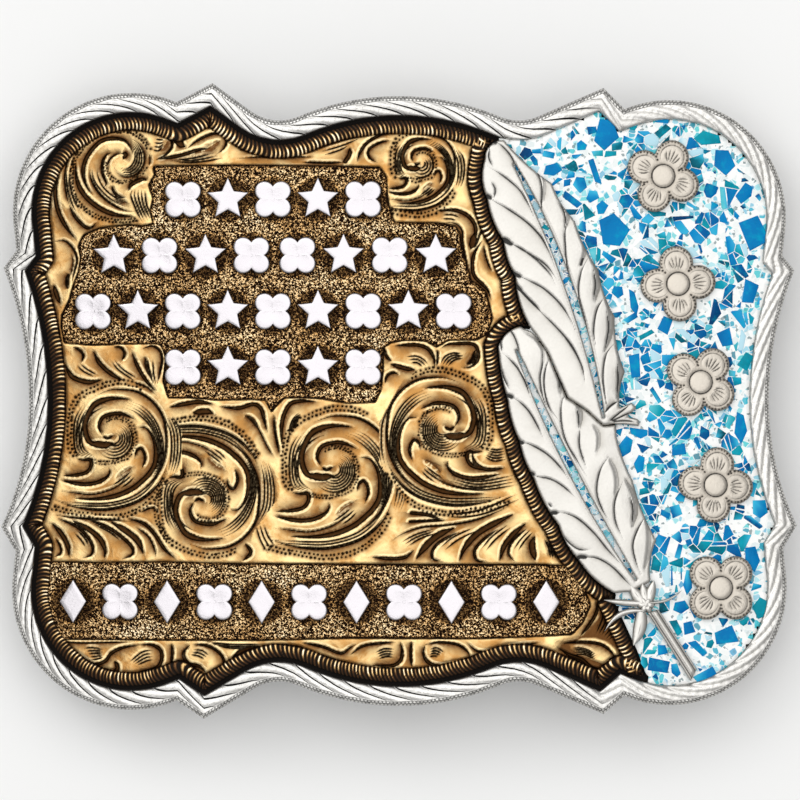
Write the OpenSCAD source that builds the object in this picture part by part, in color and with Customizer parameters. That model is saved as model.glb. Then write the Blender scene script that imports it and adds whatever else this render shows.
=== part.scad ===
// A western trophy buckle: a curved plate with an ogee outline, a rope border, an antiqued
// panel of scrollwork, two feathers, a crushed stone inlay, and the loop and stud on its back.
// X runs along the strap, Y up the front as worn, Z out of the front. It lies on its back.

/* [Plate] */
// Radius that the plate is bent to, about an axis along Y
bend_r = 230; // [200:5:300]
// Thickness of the base plate
plate_t = 1.5; // [1.2:0.1:1.8]
// Height of the plate's back over the surface it lies on, at the middle
back_z = 11.5; // [11:0.25:13]
// How far the base plate stays inside the rope border's outer edge
plate_step = 0.3; // [0.1:0.1:0.6]

/* [Outline] */
// Height of the top and bottom bumps from the middle
bump_y = 38.7; // [38:0.1:39.5]
// Half width at the waist
waist_x = 47.2; // [46.5:0.1:47.6]
// Middle of each valley beside the bump, along X
valley_x = 15.2; // [14.5:0.1:16]
// Middle of each valley's arc, along Y
valley_y = 41.6; // [41:0.1:42]
// Radius of each valley
valley_r = 6; // [5.5:0.1:6.5]

/* [Rope border] */
// Width of the border
border_w = 2.5; // [2:0.1:3]
// Height of the rope's crest over the plate
border_t = 1.35; // [1.1:0.05:1.6]
// Length of border that one strand takes up
strand_pitch = 3.3; // [2.7:0.1:3.9]
// Depth of the cut between strands
strand_cut = 0.35; // [0.1:0.05:0.5]

/* [Bronze panel] */
// Gap between the border and the panel
panel_gap = 0.6; // [0.4:0.1:0.8]
// Thickness of the panel's ground
ground_t = 0.75; // [0.5:0.05:0.9]
// Height of the scrolls and the rim over the ground
relief_t = 0.45; // [0.3:0.05:0.6]
// Width of the stitched rim
rim_w = 1.35; // [1:0.05:1.6]

/* [Inlay and feathers] */
// Thickness of the stone inlay
inlay_t = 0.85; // [0.6:0.05:1]
// Thickness of the feathers
feather_t = 0.9; // [0.7:0.05:1.1]
// Depth of the cuts between the barbs
barb_cut = 0.35; // [0.2:0.05:0.5]
// Half width of the pierced slot along each quill
slot_half_w = 0.55; // [0.3:0.05:0.7]

/* [Ornaments] */
// Tip-to-tip size of the small silver ornaments
ornament_d = 5.6; // [4.6:0.1:5.6]
// Thickness of the small silver ornaments
ornament_t = 0.75; // [0.5:0.05:0.9]
// Size across each flower plaque
plaque_d = 9.8; // [8:0.1:10.4]

/* [Back] */
// Width of the strap that the loop takes
strap_w = 39; // [34:1:40]
// Thickness of the loop's wire
wire_d = 3; // [2.6:0.1:3.4]
// Distance of the loop's crossbar from the middle
loop_x = 36; // [34:0.5:38]
// Radius of the stud
stud_r = 2; // [1.8:0.1:2.4]
// Distance of the stud's foot from the middle
stud_x = 31; // [28:0.5:34]
// Angle that the stud leans outward
stud_lean = 0; // [0:1:25]

/* [Hidden] */
$fn = 96;
gap = 0.06;
fit = 0.2;

SX = 0;
SY = 1;
TIP_X = 2;
TIP_Y = 3;
SIDE_X = 4;
SIDE_Y = 5;
LOBE_X = 6;
LOBE_Y = 7;
LOBE_R = 8;
// Each corner: sign along X and Y, upper tip, side tip, then the middle and radius of its lobe
CORNERS = [
    [1, 1, 26.0, 39.8, 50.5, 16.7, 34.5, 23.4, 14.9],
    [-1, 1, 23.7, 40.4, 50.5, 17.0, 34.2, 24.1, 15.1],
    [-1, -1, 24.8, 40.4, 50.8, 16.1, 34.2, 24.1, 15.2],
    [1, -1, 26.0, 39.8, 50.8, 15.9, 34.5, 23.7, 15.0],
];
// Where a lobe ends, as angles on its circle, and how far the side notch is below and outside it
LOBE_FROM = -10;
LOBE_TO = 113;
NOTCH_DROP = 4.9;
NOTCH_IN = 0.45;

X = 0;
Y = 1;
BULGE = 2;
// The feathers' left edge from the top down, which the panel follows: x, y, bulge to the next row
LONG_LEFT = [
    [13.3, 33.1, 0.8],
    [10.9, 30.6, 0.5],
    [11.2, 25.7, 0.35],
    [13.3, 20.3, 0.3],
    [14.8, 15.8, 0.4],
    [16.5, 9.6, 0],
];
SHORT_LEFT = [
    [15.4, 9.5, 0.5],
    [12.6, 6.9, 0.2],
    [13.8, 0.1, 0.25],
    [15.3, -5.1, 0.25],
    [17.1, -9.8, 0.3],
    [20.3, -15.8, 0.3],
    [22.8, -20.2, 0.4],
    [27.3, -24.4, 0],
];
// The long feather's other side, from its foot up: x, y, bulge to the next row
LONG_RIGHT = [
    [17.3, 8.7, 0],
    [19.0, 6.2, 0],
    [21.5, 0.5, 0],
    [23.9, -1.1, 0],
    [26.0, -3.0, 0],
    [27.2, -2.8, 0],
    [30.6, -3.2, 0],
    [30.4, -2.3, 0],
    [28.9, -2.0, 0],
    [30.2, -0.9, 0],
    [29.6, -0.2, 0],
    [28.0, -0.9, -0.3],
    [28.7, 3.7, -0.4],
    [27.4, 10.7, -0.3],
    [25.3, 16.7, -0.3],
    [22.3, 22.9, -0.3],
    [19.4, 27.6, -0.3],
];
// The short feather's other side, from its foot up: x, y, bulge to the next row
SHORT_RIGHT = [
    [29.6, -24.2, 0],
    [32.0, -22.9, -0.4],
    [32.7, -17.7, -0.3],
    [29.7, -10.1, -0.3],
    [27.4, -3.2, 0],
    [25.9, -3.3, 0],
    [23.7, -1.3, 0],
    [21.2, 0.3, 0],
    [18.7, 6.1, 0],
    [17.0, 8.5, 0],
];
// The panel's edge below the feathers and how it closes outside the border: x, y
PANEL_FOOT = [
    [27.0, -25.6],
    [29.9, -31.8],
    [31.5, -36.0],
    [31.5, -60],
    [-70, -60],
    [-70, 60],
    [12.9, 60],
];
// The inner edge of the panel's rim beside the feathers, from the top down: x, y
RIM_EDGE = [
    [11.2, 60],
    [11.2, 35.0],
    [9.2, 30.6],
    [9.5, 25.3],
    [11.6, 19.7],
    [13.1, 15.1],
    [14.2, 10.4],
    [11.2, 8.2],
    [11.0, 6.2],
    [12.2, -0.4],
    [13.7, -5.7],
    [15.6, -10.6],
    [18.9, -16.6],
    [21.5, -21.1],
    [25.6, -25.4],
    [28.3, -31.8],
    [29.6, -36.0],
    [29.6, -60],
    [-70, -60],
    [-70, 60],
];

// Quills: tip end, foot end, bulge
LONG_QUILL = [[14.6, 30.1], [26.0, -2.2], -1.4];
SHORT_QUILL = [[14.9, 6.5], [30.2, -22.8], 0.8];
BARBS = 7;

// The knot, its strips (foot x, foot y, length, width, angle, from its middle) and the stem below it
KNOT = [31.4, -25.9];
KNOT_R = 1.35;
tie_t = 0.7;
TIE_STRIPS = [
    [-0.5, 0.1, 4.3, 1.0, 173],
    [-0.5, -0.4, 5.0, 1.0, 204],
    [0.5, 0.2, 4.4, 1.0, 16],
    [0.6, -0.3, 3.2, 1.0, -8],
];
STEM = [[32.1, -27.6], [33.2, -27.2], [37.5, -34.1], [37.0, -35.6]];

// Scrolls: middle x, y, radius, angle where the band comes in, turns (negative is clockwise), band width
SCROLLS = [
    [-36.2, 30.8, 5.7, -40, 1.45, 2.3],
    [2.7, 30.4, 4.6, 220, -1.4, 2.0],
    [-36.6, -3.1, 8.6, -60, 1.6, 2.9],
    [-24.8, -12.6, 7.2, 110, 1.6, 2.7],
    [-8.6, -8.2, 7.4, -70, -1.6, 2.7],
    [6.1, -3.1, 8.4, 240, -1.6, 2.9],
];
// Leaves of the scrollwork: foot x, foot y, length, width, angle
LEAVES = [
    [-31.5, 5.2, 6, 2, 150],
    [-33.5, 6.6, 5, 1.8, 120],
    [-40.5, 6.6, 4.5, 1.8, 75],
    [-20.5, 0.5, 8, 2.4, 150],
    [-17.0, 0.8, 7, 2.2, 60],
    [-1.0, 5.5, 6, 2, 110],
    [4.0, 6.3, 6, 2, 60],
    [8.5, 5.8, 5, 1.9, 35],
    [-44.5, -12.5, 7, 2.2, 10],
    [-43.5, -15.6, 9, 2.4, 5],
    [-42.5, -18.6, 9, 2.2, 8],
    [-30.5, -20.3, 9, 2.2, -2],
    [-15.5, -17.5, 12, 2.6, -10],
    [0.5, -14.0, 10, 2.4, -6],
    [-2.5, -17.5, 14, 2.6, -8],
    [4.0, -20.5, 13, 2.2, -2],
    [12.5, -13.5, 7, 2.2, -60],
    [-31.0, 33.6, 7, 2.2, -12],
    [-22.5, 32.0, 8, 2.2, 12],
    [-13.5, 31.5, 7, 2.1, 5],
    [-4.5, 32.5, 5, 2, -15],
    [-43.4, 13.0, 9, 2.3, 84],
    [8.4, 9.5, 8, 2.3, 95],
    [7.5, 18.5, 7, 2.2, 100],
    [-42.0, -34.0, 9, 2.4, 12],
    [-32.0, -33.8, 9, 2.3, -8],
    [-21.5, -34.0, 8, 2.4, 14],
    [-9.0, -34.2, 9, 2.4, 4],
    [1.5, -33.6, 9, 2.3, -10],
    [12.5, -33.0, 9, 2.3, 8],
    [21.6, -28.5, 5, 2, -60],
];

ROW_NAME = 0;
ROW_X = 1;
ROW_Y = 2;
ROW_W = 3;
ROW_COUNT = 4;
// Rows of small ornaments: name, middle x, y, width, how many
ROWS = [
    ["top_row", -16.0, 25.6, 28.6, 5],
    ["second_row", -15.8, 18.5, 46.8, 8],
    ["third_row", -16.0, 11.4, 51.6, 9],
    ["fourth_row", -16.0, 4.3, 28.6, 5],
    ["bottom_row", -11.4, -25.5, 66.2, 11],
];
// How far the plain ground reaches past a row of ornaments
BANNER_PAST = [1.0, 0.9];
// Flower plaques on the inlay: x, y, turn
PLAQUES = [
    [33.6, 28.6, 20],
    [35.5, 14.9, 50],
    [38.4, 2.4, 10],
    [40.3, -10.7, 40],
    [41.0, -23.8, 0],
];
PETALS = 4;
STAR_POINTS = 5;

// Heights over the plate's back
plate_top = plate_t;
overlay_h = plate_t + gap;
ground_h = overlay_h + ground_t;
relief_h = ground_h + relief_t;
inlay_h = overlay_h + inlay_t;
feather_h = inlay_h + gap;
feather_top = feather_h + feather_t;
border_h = overlay_h + border_t;

row_names = [for (row = ROWS) for (i = [1:row[ROW_COUNT]]) str(row[ROW_NAME], "_", i)];
plaque_names = [for (i = [1:len(PLAQUES)]) str("plaque_", i)];

SILVER = "gainsboro";
BRONZE = "darkgoldenrod";
STONE = "skyblue";
BACK = "silver";

// Curves

function arc(middle, r, from, to, step) =
    let (n = max(2, floor(abs(to - from) / step)))
    [for (i = [0:n]) let (a = from + (to - from) * i / n) middle + r * [cos(a), sin(a)]];

// The arc between two points whose middle stands off the chord to its right by the bulge
function bulged(p, q, bulge) =
    bulge == 0 ? [p] :
    let (
        chord = norm(q - p),
        b = abs(bulge),
        r = (chord * chord / 4 + b * b) / (2 * b),
        side = sign(bulge),
        out = side * [(q - p)[1], -(q - p)[0]] / chord,
        middle = (p + q) / 2 + (b - r) * out,
        half = asin(chord / 2 / r),
        base = atan2(out[1], out[0]),
        n = max(3, ceil(chord / 1.2))
    )
    [for (i = [0:n - 1]) let (a = base + side * half * (2 * i / n - 1)) middle + r * [cos(a), sin(a)]];

function flat(lists) = [for (l = lists) for (p = l) p];

// The points along rows of x, y and bulge, from the first row up to the last
function chain(rows) = concat(
    flat([for (i = [0:len(rows) - 2]) bulged(xy(rows[i]), xy(rows[i + 1]), rows[i][BULGE])]),
    [xy(rows[len(rows) - 1])]
);
function xy(row) = [row[X], row[Y]];

// Moves an open line sideways, to its left
function beside(line, d) = [
    for (i = [0:len(line) - 1])
        let (
            u = unit(line[max(i, 1)] - line[max(i, 1) - 1]),
            v = unit(line[min(i + 1, len(line) - 1)] - line[min(i + 1, len(line) - 1) - 1])
        )
        line[i] + miter(u, v, d)
];

// Moves a closed anticlockwise outline inward
function inset(path, d) = [
    for (i = [0:len(path) - 1])
        let (
            n = len(path),
            u = unit(path[i] - path[(i + n - 1) % n]),
            v = unit(path[(i + 1) % n] - path[i])
        )
        path[i] + miter(u, v, d)
];
function unit(v) = v / norm(v);
function left_of(v) = [-v[1], v[0]];
function miter(u, v, d) = d * (left_of(u) + left_of(v)) / (1 + u * v);

// The outline: each corner as five stretches, from the waist up to the middle of the bump

function corner(c) =
    let (
        tip = [c[TIP_X], c[TIP_Y]],
        side = [c[SIDE_X], c[SIDE_Y]],
        lobe = [c[LOBE_X], c[LOBE_Y]],
        notch = lobe + [c[LOBE_R] - NOTCH_IN, -NOTCH_DROP],
        waist_r = (pow(side[0] - waist_x, 2) + side[1] * side[1]) / (2 * (side[0] - waist_x)),
        waist_a = asin(side[1] / waist_r),
        valley = [valley_x, valley_y],
        reach = tip - valley,
        slope_a = atan2(reach[1], reach[0]) - acos(valley_r / norm(reach)),
        bump_mid = (valley_y + bump_y + valley_r) / 2
            - valley_x * valley_x / (2 * (bump_y + valley_r - valley_y)),
        bump_a = atan2(valley_y - bump_mid, valley_x),
        shoulder = lobe + c[LOBE_R] * [cos(LOBE_FROM), sin(LOBE_FROM)],
        crook = lobe + c[LOBE_R] * [cos(LOBE_TO), sin(LOBE_TO)]
    )
    [
        for (stretch = [
            arc([waist_x + waist_r, 0], waist_r, 180, 180 - waist_a, 2.5),
            [side, notch],
            concat([notch], arc(lobe, c[LOBE_R], LOBE_FROM, LOBE_TO, 4)),
            [crook, tip],
            concat(
                [tip],
                arc(valley, valley_r, slope_a, bump_a - 180, 9),
                [for (p = arc([0, bump_mid], bump_y - bump_mid, bump_a, 90, 2.5)) if (p[0] < valley_x - 2.4) p]
            ),
        ])
        [for (p = stretch) [c[SX] * p[0], c[SY] * p[1]]]
    ];

function backward(list) = [for (i = [len(list) - 1:-1:0]) list[i]];
function backward_all(lists) = [for (i = [len(lists) - 1:-1:0]) backward(lists[i])];

stretches = concat(
    corner(CORNERS[0]),
    backward_all(corner(CORNERS[1])),
    corner(CORNERS[2]),
    backward_all(corner(CORNERS[3]))
);
outline = flat([for (s = stretches) [for (i = [0:len(s) - 2]) s[i]]]);
starts = [for (k = 0, at = 0; k < len(stretches); at = at + len(stretches[k]) - 1, k = k + 1) at];

// The solid between two heights over the plate's back, above a flat drawing
module between(low, high) {
    reach = 70;
    intersection() {
        linear_extrude(back_z + high + 1) children();
        translate([0, 0, back_z - bend_r]) rotate([90, 0, 0]) difference() {
            cylinder(r = bend_r + high, h = 2 * reach, center = true, $fn = 720);
            cylinder(r = bend_r + low, h = 3 * reach, center = true, $fn = 720);
        }
    }
}

function bent_z(x, h) = back_z + sqrt(pow(bend_r + h, 2) - x * x) - bend_r;

module base_plate() {
    color(SILVER) between(0, plate_t) polygon(inset(outline, plate_step));
}

// The rope border: rings across the border, four for each strand, with the cuts worked
// into their heights

RINGS_PER_STRAND = 4;
// How many strands a cut passes on its way across the border
STRAND_LEAN = 1.4;
// Section of the rope from its outer to its inner edge: share of the width, share of the crest
ROPE_SECTION = [[0, 0.35], [0.2, 0.85], [0.5, 1], [0.8, 0.85], [1, 0.4]];

function along(line, n) =
    let (
        total = [for (i = 0, s = 0; i < len(line); i = i + 1, s = s + (i < len(line) ? norm(line[i] - line[i - 1]) : 0)) s],
        end = total[len(line) - 1],
        table_x = [for (i = [0:len(line) - 1]) [total[i], line[i][0]]],
        table_y = [for (i = [0:len(line) - 1]) [total[i], line[i][1]]]
    )
    [for (k = [0:n - 1]) [lookup(end * k / n, table_x), lookup(end * k / n, table_y)]];

function length(line, i = 0) = i >= len(line) - 1 ? 0 : norm(line[i + 1] - line[i]) + length(line, i + 1);

strands = [for (s = stretches) max(1, round(length(s) / strand_pitch))];

// One rail of the rope, inside the outline by a share of the border's width
function rail(share) =
    let (line = inset(outline, share * border_w), n = len(line))
    flat([
        for (k = [0:len(stretches) - 1])
            along([for (i = [0:len(stretches[k]) - 1]) line[(starts[k] + i) % n]], RINGS_PER_STRAND * strands[k])
    ]);

module rope_border() {
    rails = [for (s = ROPE_SECTION) rail(s[0])];
    rings = len(rails[0]);
    across = len(ROPE_SECTION);
    lift = function (ring, k)
        let (phase = ring / RINGS_PER_STRAND + STRAND_LEAN * ROPE_SECTION[k][0])
        overlay_h + border_t * ROPE_SECTION[k][1] - strand_cut * ROPE_SECTION[k][1] * (0.5 - 0.5 * cos(360 * phase));
    points = [
        for (ring = [0:rings - 1])
            each concat(
                [for (k = [0:across - 1]) let (p = rails[k][ring]) [p[0], p[1], bent_z(p[0], lift(ring, k))]],
                [for (k = [across - 1, 0]) let (p = rails[k][ring]) [p[0], p[1], bent_z(p[0], overlay_h)]]
            )
    ];
    m = across + 2;
    faces = [
        for (ring = [0:rings - 1])
            let (next = (ring + 1) % rings)
            for (k = [0:m - 1])
                let (k2 = (k + 1) % m, a = ring * m + k, b = ring * m + k2, c = next * m + k2, d = next * m + k)
                each [[a, b, c], [a, c, d]]
    ];
    color(SILVER) polyhedron(points, faces);
}

// The bronze panel: ground, stitched rim and scrollwork in one solid

panel_side = concat(beside(chain(LONG_LEFT), -fit), beside(chain(SHORT_LEFT), -fit));

module panel_shape() {
    intersection() {
        polygon(inset(outline, border_w + panel_gap));
        polygon(concat(panel_side, PANEL_FOOT));
    }
}

module panel_field() {
    intersection() {
        polygon(inset(outline, border_w + panel_gap + rim_w));
        polygon(RIM_EDGE);
    }
}

// A band that winds in from the radius to the scroll's middle and ends in a round eye
module scroll(row) {
    r = row[2];
    turns = row[4];
    steps = 28;
    curl = function (f, off)
        let (a = row[3] + 360 * turns * f, d = r * pow(1 - 0.86 * f, 1.15) + off) [row[0] + d * cos(a), row[1] + d * sin(a)];
    half = function (f) row[5] / 2 * min(1, 0.25 + 2.2 * f) * (1 - 0.62 * f);
    polygon(concat(
        [for (i = [0:steps]) let (f = i / steps) curl(f, half(f))],
        [for (i = [steps:-1:0]) let (f = i / steps) curl(f, -half(f))]
    ));
    translate([row[0], row[1]]) circle(r = 0.15 * r);
}

module leaf(row) {
    d = row[2];
    w = row[3];
    translate([row[0], row[1]]) rotate(row[4])
        polygon(concat(bulged([0, 0], [d, 0], w / 2), bulged([d, 0], [0, 0], 0.35 * w)));
}

// The plain ground that a row of ornaments stands on
module banner(row) {
    translate([row[ROW_X], row[ROW_Y]])
        square([row[ROW_W], ornament_d] + 2 * BANNER_PAST, center = true);
}

module bronze_panel() {
    color(BRONZE) {
        between(overlay_h, ground_h) panel_shape();
        between(ground_h - 0.2, relief_h) difference() {
            panel_shape();
            panel_field();
        }
        between(ground_h - 0.2, relief_h) difference() {
            intersection() {
                panel_field();
                union() {
                    for (row = SCROLLS) scroll(row);
                    for (row = LEAVES) leaf(row);
                }
            }
            for (row = ROWS) banner(row);
        }
    }
}

// The inlay fills what the panel leaves inside the border, and runs on under the feathers

module stone_inlay() {
    color(STONE) between(overlay_h, inlay_h) difference() {
        polygon(inset(outline, border_w + fit));
        polygon(concat(beside(panel_side, 2 * fit), PANEL_FOOT + [for (p = PANEL_FOOT) [2 * fit, 0]]));
    }
}

// The feathers

// A point on a quill and the direction it runs in there
function quill_point(quill, f) =
    let (line = concat(bulged(quill[0], quill[1], quill[2]), [quill[1]]), at = f * (len(line) - 1), i = min(floor(at), len(line) - 2))
    line[i] + (at - i) * (line[i + 1] - line[i]);

module slot(quill) {
    steps = 16;
    side = function (f, sign) let (p = quill_point(quill, f), d = unit(quill_point(quill, min(1, f + 0.02)) - quill_point(quill, max(0, f - 0.02)))) p + sign * slot_half_w * sqrt(sin(180 * f) + 0.01) * left_of(d);
    polygon(concat([for (i = [0:steps]) side(i / steps, 1)], [for (i = [steps:-1:0]) side(i / steps, -1)]));
}

// The cuts between the barbs, each a thin blade from the quill outward and towards the tip
module barb_cuts(quill, left_a, right_a, reach) {
    blade = 0.16;
    for (i = [1:BARBS - 1], a = [left_a, right_a])
        translate(quill_point(quill, i / BARBS)) rotate(a)
            polygon(concat(
                bulged([0.8, 0], [reach, 0], a == left_a ? -0.7 : 0.7),
                [[reach, 0], [reach, blade]],
                backward(bulged([0.8, blade], [reach, blade], a == left_a ? -0.7 : 0.7))
            ));
}

module feather(left, right, quill, left_a, right_a, reach) {
    color(SILVER) difference() {
        between(feather_h, feather_top) difference() {
            polygon(concat(chain(left), chain(right)));
            slot(quill);
        }
        between(feather_top - barb_cut, feather_top + 1) barb_cuts(quill, left_a, right_a, reach);
    }
}

module feather_long() {
    feather(LONG_LEFT, LONG_RIGHT, LONG_QUILL, 130, 74, 9);
}

module feather_short() {
    feather(SHORT_LEFT, SHORT_RIGHT, SHORT_QUILL, 138, 98, 10);
}

// The knot lies higher than the rest, because its strips reach over the panel's rim
module feather_tie() {
    color(SILVER) between(relief_h + gap, relief_h + gap + tie_t) translate(KNOT) {
        circle(r = KNOT_R);
        for (row = TIE_STRIPS) leaf(row);
    }
}

module quill_stem() {
    color(SILVER) between(feather_h, feather_top) polygon(STEM);
}

// Ornaments

module star() {
    outer = ornament_d / 2;
    polygon([
        for (i = [0:2 * STAR_POINTS - 1])
            let (a = 90 + 180 * i / STAR_POINTS, r = i % 2 == 0 ? outer : 0.48 * outer) r * [cos(a), sin(a)]
    ]);
}

module flower(d) {
    circle(d = 0.4 * d);
    for (i = [0:PETALS - 1]) rotate(45 + 360 * i / PETALS) translate([0.27 * d, 0]) circle(d = 0.44 * d);
}

module lozenge() {
    half = ornament_d / 2;
    difference() {
        polygon([[half, 0], [0, half], [-half, 0], [0, -half]]);
        for (i = [0:3]) rotate(45 + 90 * i) translate([1.62 * half, 0]) circle(r = half);
    }
}

// The kinds alternate from the middle of the row outward
module row_piece(row, i) {
    from_middle = i - (row[ROW_COUNT] + 1) / 2;
    pitch = (row[ROW_W] - ornament_d) / (row[ROW_COUNT] - 1);
    flowery = floor(abs(from_middle)) % 2 == 0;
    color(SILVER) between(ground_h + gap, ground_h + gap + ornament_t)
        translate([row[ROW_X] + from_middle * pitch, row[ROW_Y]])
            if (flowery) flower(ornament_d); else if (row[ROW_NAME] == "bottom_row") lozenge(); else star();
}

module plaque(row) {
    color(SILVER) between(feather_h, feather_h + ornament_t)
        translate([row[0], row[1]]) rotate(row[2]) flower(plaque_d);
}

// The back

module under_plate() {
    translate([0, 0, back_z - bend_r]) rotate([90, 0, 0])
        cylinder(r = bend_r - gap, h = 200, center = true, $fn = 720);
}

module belt_loop() {
    wire_r = wire_d / 2;
    bend = wire_d;
    foot_r = 2.6;
    foot_t = 1.6;
    leg_y = strap_w / 2 + foot_r;
    color(BACK) intersection() {
        under_plate();
        union() {
            for (side = [-1, 1]) {
                translate([loop_x, side * leg_y, bend + wire_r]) cylinder(r = wire_r, h = back_z);
                translate([loop_x, side * (leg_y - bend), bend + wire_r]) rotate([0, 90, 0]) rotate(side == 1 ? 0 : -90)
                    rotate_extrude(angle = 90) translate([bend, 0]) circle(r = wire_r);
                translate([loop_x, side * leg_y, bent_z(loop_x, -foot_t)]) cylinder(r = foot_r, h = 4);
            }
            translate([loop_x, 0, wire_r]) rotate([90, 0, 0]) cylinder(r = wire_r, h = 2 * (leg_y - bend), center = true);
        }
    }
}

module hook_post() {
    rise = bent_z(stud_x, 0) - stud_r;
    foot_r = 4;
    foot_t = 1.1;
    color(BACK) intersection() {
        under_plate();
        translate([-stud_x - rise * tan(stud_lean), 0, stud_r]) {
            sphere(r = stud_r);
            rotate([0, stud_lean, 0]) cylinder(r = stud_r, h = rise / cos(stud_lean) + 2);
            translate([rise * tan(stud_lean), 0, rise - foot_t]) cylinder(r = foot_r, h = 4);
        }
    }
}

base_plate();
rope_border();
bronze_panel();
stone_inlay();
feather_long();
feather_short();
feather_tie();
quill_stem();
for (row = ROWS, i = [1:row[ROW_COUNT]])
    row_piece(row, i);
for (i = [1:len(PLAQUES)])
    plaque(PLAQUES[i - 1]);
belt_loop();
hook_post();
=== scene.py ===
"""Looks of a western trophy buckle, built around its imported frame.

Lengths are millimetres: x along the strap, y up the front, h the height over the back of the
curved plate. The drawings for the graver are tenths of a millimetre, x and y in turn. Meshes are
bent to the plate and scaled to metres at the end.
"""

from __future__ import annotations

import logging
import math
from dataclasses import dataclass, replace
from enum import Enum
from typing import Callable, Iterable, Sequence

import bpy
import numpy as np
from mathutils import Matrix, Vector

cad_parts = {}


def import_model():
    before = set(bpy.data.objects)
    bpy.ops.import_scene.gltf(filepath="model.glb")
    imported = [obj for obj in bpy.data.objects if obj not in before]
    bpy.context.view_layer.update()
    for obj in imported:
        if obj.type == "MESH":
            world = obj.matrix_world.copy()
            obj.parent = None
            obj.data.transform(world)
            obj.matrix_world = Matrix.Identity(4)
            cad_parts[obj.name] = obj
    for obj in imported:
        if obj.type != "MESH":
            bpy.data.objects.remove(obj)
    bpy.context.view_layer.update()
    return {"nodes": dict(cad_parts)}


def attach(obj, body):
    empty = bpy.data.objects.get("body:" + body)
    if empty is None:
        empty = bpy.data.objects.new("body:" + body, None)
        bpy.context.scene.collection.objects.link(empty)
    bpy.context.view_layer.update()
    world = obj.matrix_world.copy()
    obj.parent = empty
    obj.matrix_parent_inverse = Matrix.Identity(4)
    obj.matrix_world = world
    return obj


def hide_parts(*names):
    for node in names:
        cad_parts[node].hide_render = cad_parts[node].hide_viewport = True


LOG = logging.getLogger("buckle")
MM = 0.001
Line = Sequence[tuple[float, ...]] | np.ndarray
Drawing = Sequence[float]
# Width over which the cut mark runs from 0 to 1 across the edge of a cut
EDGE = 0.6
# Limits of the cut mark between which the dark of a cut sets in
CUT_LINE = (0.43, 0.57)
# Grid points this near to the zero line, in pitches, are moved onto it
SNAP = 0.62
# Share of its width that a tapered cut starts with, and how fast it widens along its length
TIP, WIDEN = 0.18, 3.0
# Points of a cut that are engraved at a time, and how many times its reach the shading is followed
STEP, FADE = 12, 3.6
# Least room for each cut of a hatch
HATCH_ROOM = 0.34
# How far punched dots stray, and how wide the shade round them is
STRAY, HALO = 0.035, 0.4
# Specular level of the dark that lies in the metal's cuts, and of painted shade
DIRT_AND_SHADE_SHINE = 0.05

# Heights over the back of the plate
OVERLAY_H = 1.56
GROUND_H = 2.31
RELIEF_H = 2.76
INLAY_H = 2.41
FEATHER_H = 2.47
FEATHER_TOP = 3.37
TIE_H = 2.82
TIE_TOP = 3.52
BORDER_T = 1.35
ORNAMENT_TOP = 3.12
PLAQUE_TOP = 3.22
BORDER_W = 2.5
PANEL_GAP = 0.6
FIT = 0.2
RIM_W = 1.65

# Each corner: signs along x and y, upper tip, side tip, then the middle and radius of its lobe
CORNERS = (
    (1, 1, 26.0, 39.8, 50.5, 16.7, 34.5, 23.4, 14.9),
    (-1, 1, 23.7, 40.4, 50.5, 17.0, 34.2, 24.1, 15.1),
    (-1, -1, 24.8, 40.4, 50.8, 16.1, 34.2, 24.1, 15.2),
    (1, -1, 26.0, 39.8, 50.8, 15.9, 34.5, 23.7, 15.0),
)
# Edges of the feathers, as x, y and the bulge of the arc to the next point
LONG_LEFT = (
    (13.3, 33.1, 0.8), (10.9, 30.6, 0.5), (11.2, 25.7, 0.35), (13.3, 20.3, 0.3), (14.8, 15.8, 0.4), (16.5, 9.6, 0.0),
)
SHORT_LEFT = (
    (15.4, 9.5, 0.5), (12.6, 6.9, 0.2), (13.8, 0.1, 0.25), (15.3, -5.1, 0.25), (17.1, -9.8, 0.3), (20.3, -15.8, 0.3),
    (22.8, -20.2, 0.4), (27.3, -24.4, 0.0),
)
LONG_RIGHT = (
    (17.3, 8.7, 0.0), (19.0, 6.2, 0.0), (21.5, 0.5, 0.0), (23.9, -1.1, 0.0), (26.0, -3.0, 0.0), (27.2, -2.8, 0.0),
    (30.6, -3.2, 0.0), (30.4, -2.3, 0.0), (28.9, -2.0, 0.0), (30.2, -0.9, 0.0), (29.6, -0.2, 0.0),
    (28.0, -0.9, -0.3), (28.7, 3.7, -0.4), (27.4, 10.7, -0.3), (25.3, 16.7, -0.3), (22.3, 22.9, -0.3),
    (19.4, 27.6, -0.3), (13.3, 33.1, 0.0),
)
SHORT_RIGHT = (
    (29.6, -24.2, 0.0), (32.0, -22.9, -0.4), (32.7, -17.7, -0.3), (29.7, -10.1, -0.3), (27.4, -3.2, 0.0),
    (25.9, -3.3, 0.0), (23.7, -1.3, 0.0), (21.2, 0.3, 0.0), (18.7, 6.1, 0.0), (17.0, 8.5, 0.0), (15.4, 9.5, 0.0),
)
PANEL_FOOT = ((31.5, -60.0), (31.5, -36.0), (29.9, -31.8), (27.0, -25.6))
# Rows of small ornaments: name, middle x, y, width, how many
ROWS = (
    ("top_row", -16.0, 25.6, 28.6, 5),
    ("second_row", -15.8, 18.5, 46.8, 8),
    ("third_row", -16.0, 11.4, 51.6, 9),
    ("fourth_row", -16.0, 4.3, 28.6, 5),
    ("bottom_row", -11.4, -25.5, 66.2, 11),
)
# Flower plaques on the inlay: x, y, turn
PLAQUES = (
    (33.6, 28.6, 20.0),
    (35.5, 14.9, 50.0),
    (38.4, 2.4, 10.0),
    (40.3, -10.7, 40.0),
    (41.0, -23.8, 0.0),
)


# Plane curves


def unit(numbers: np.ndarray) -> np.ndarray:
    """Numbers kept between 0 and 1."""
    return np.clip(numbers, 0, 1)


def drawn(numbers: Drawing) -> np.ndarray:
    """A drawing's points in millimetres, one per row."""
    return np.reshape(numbers, (-1, 2)) / 10


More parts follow.
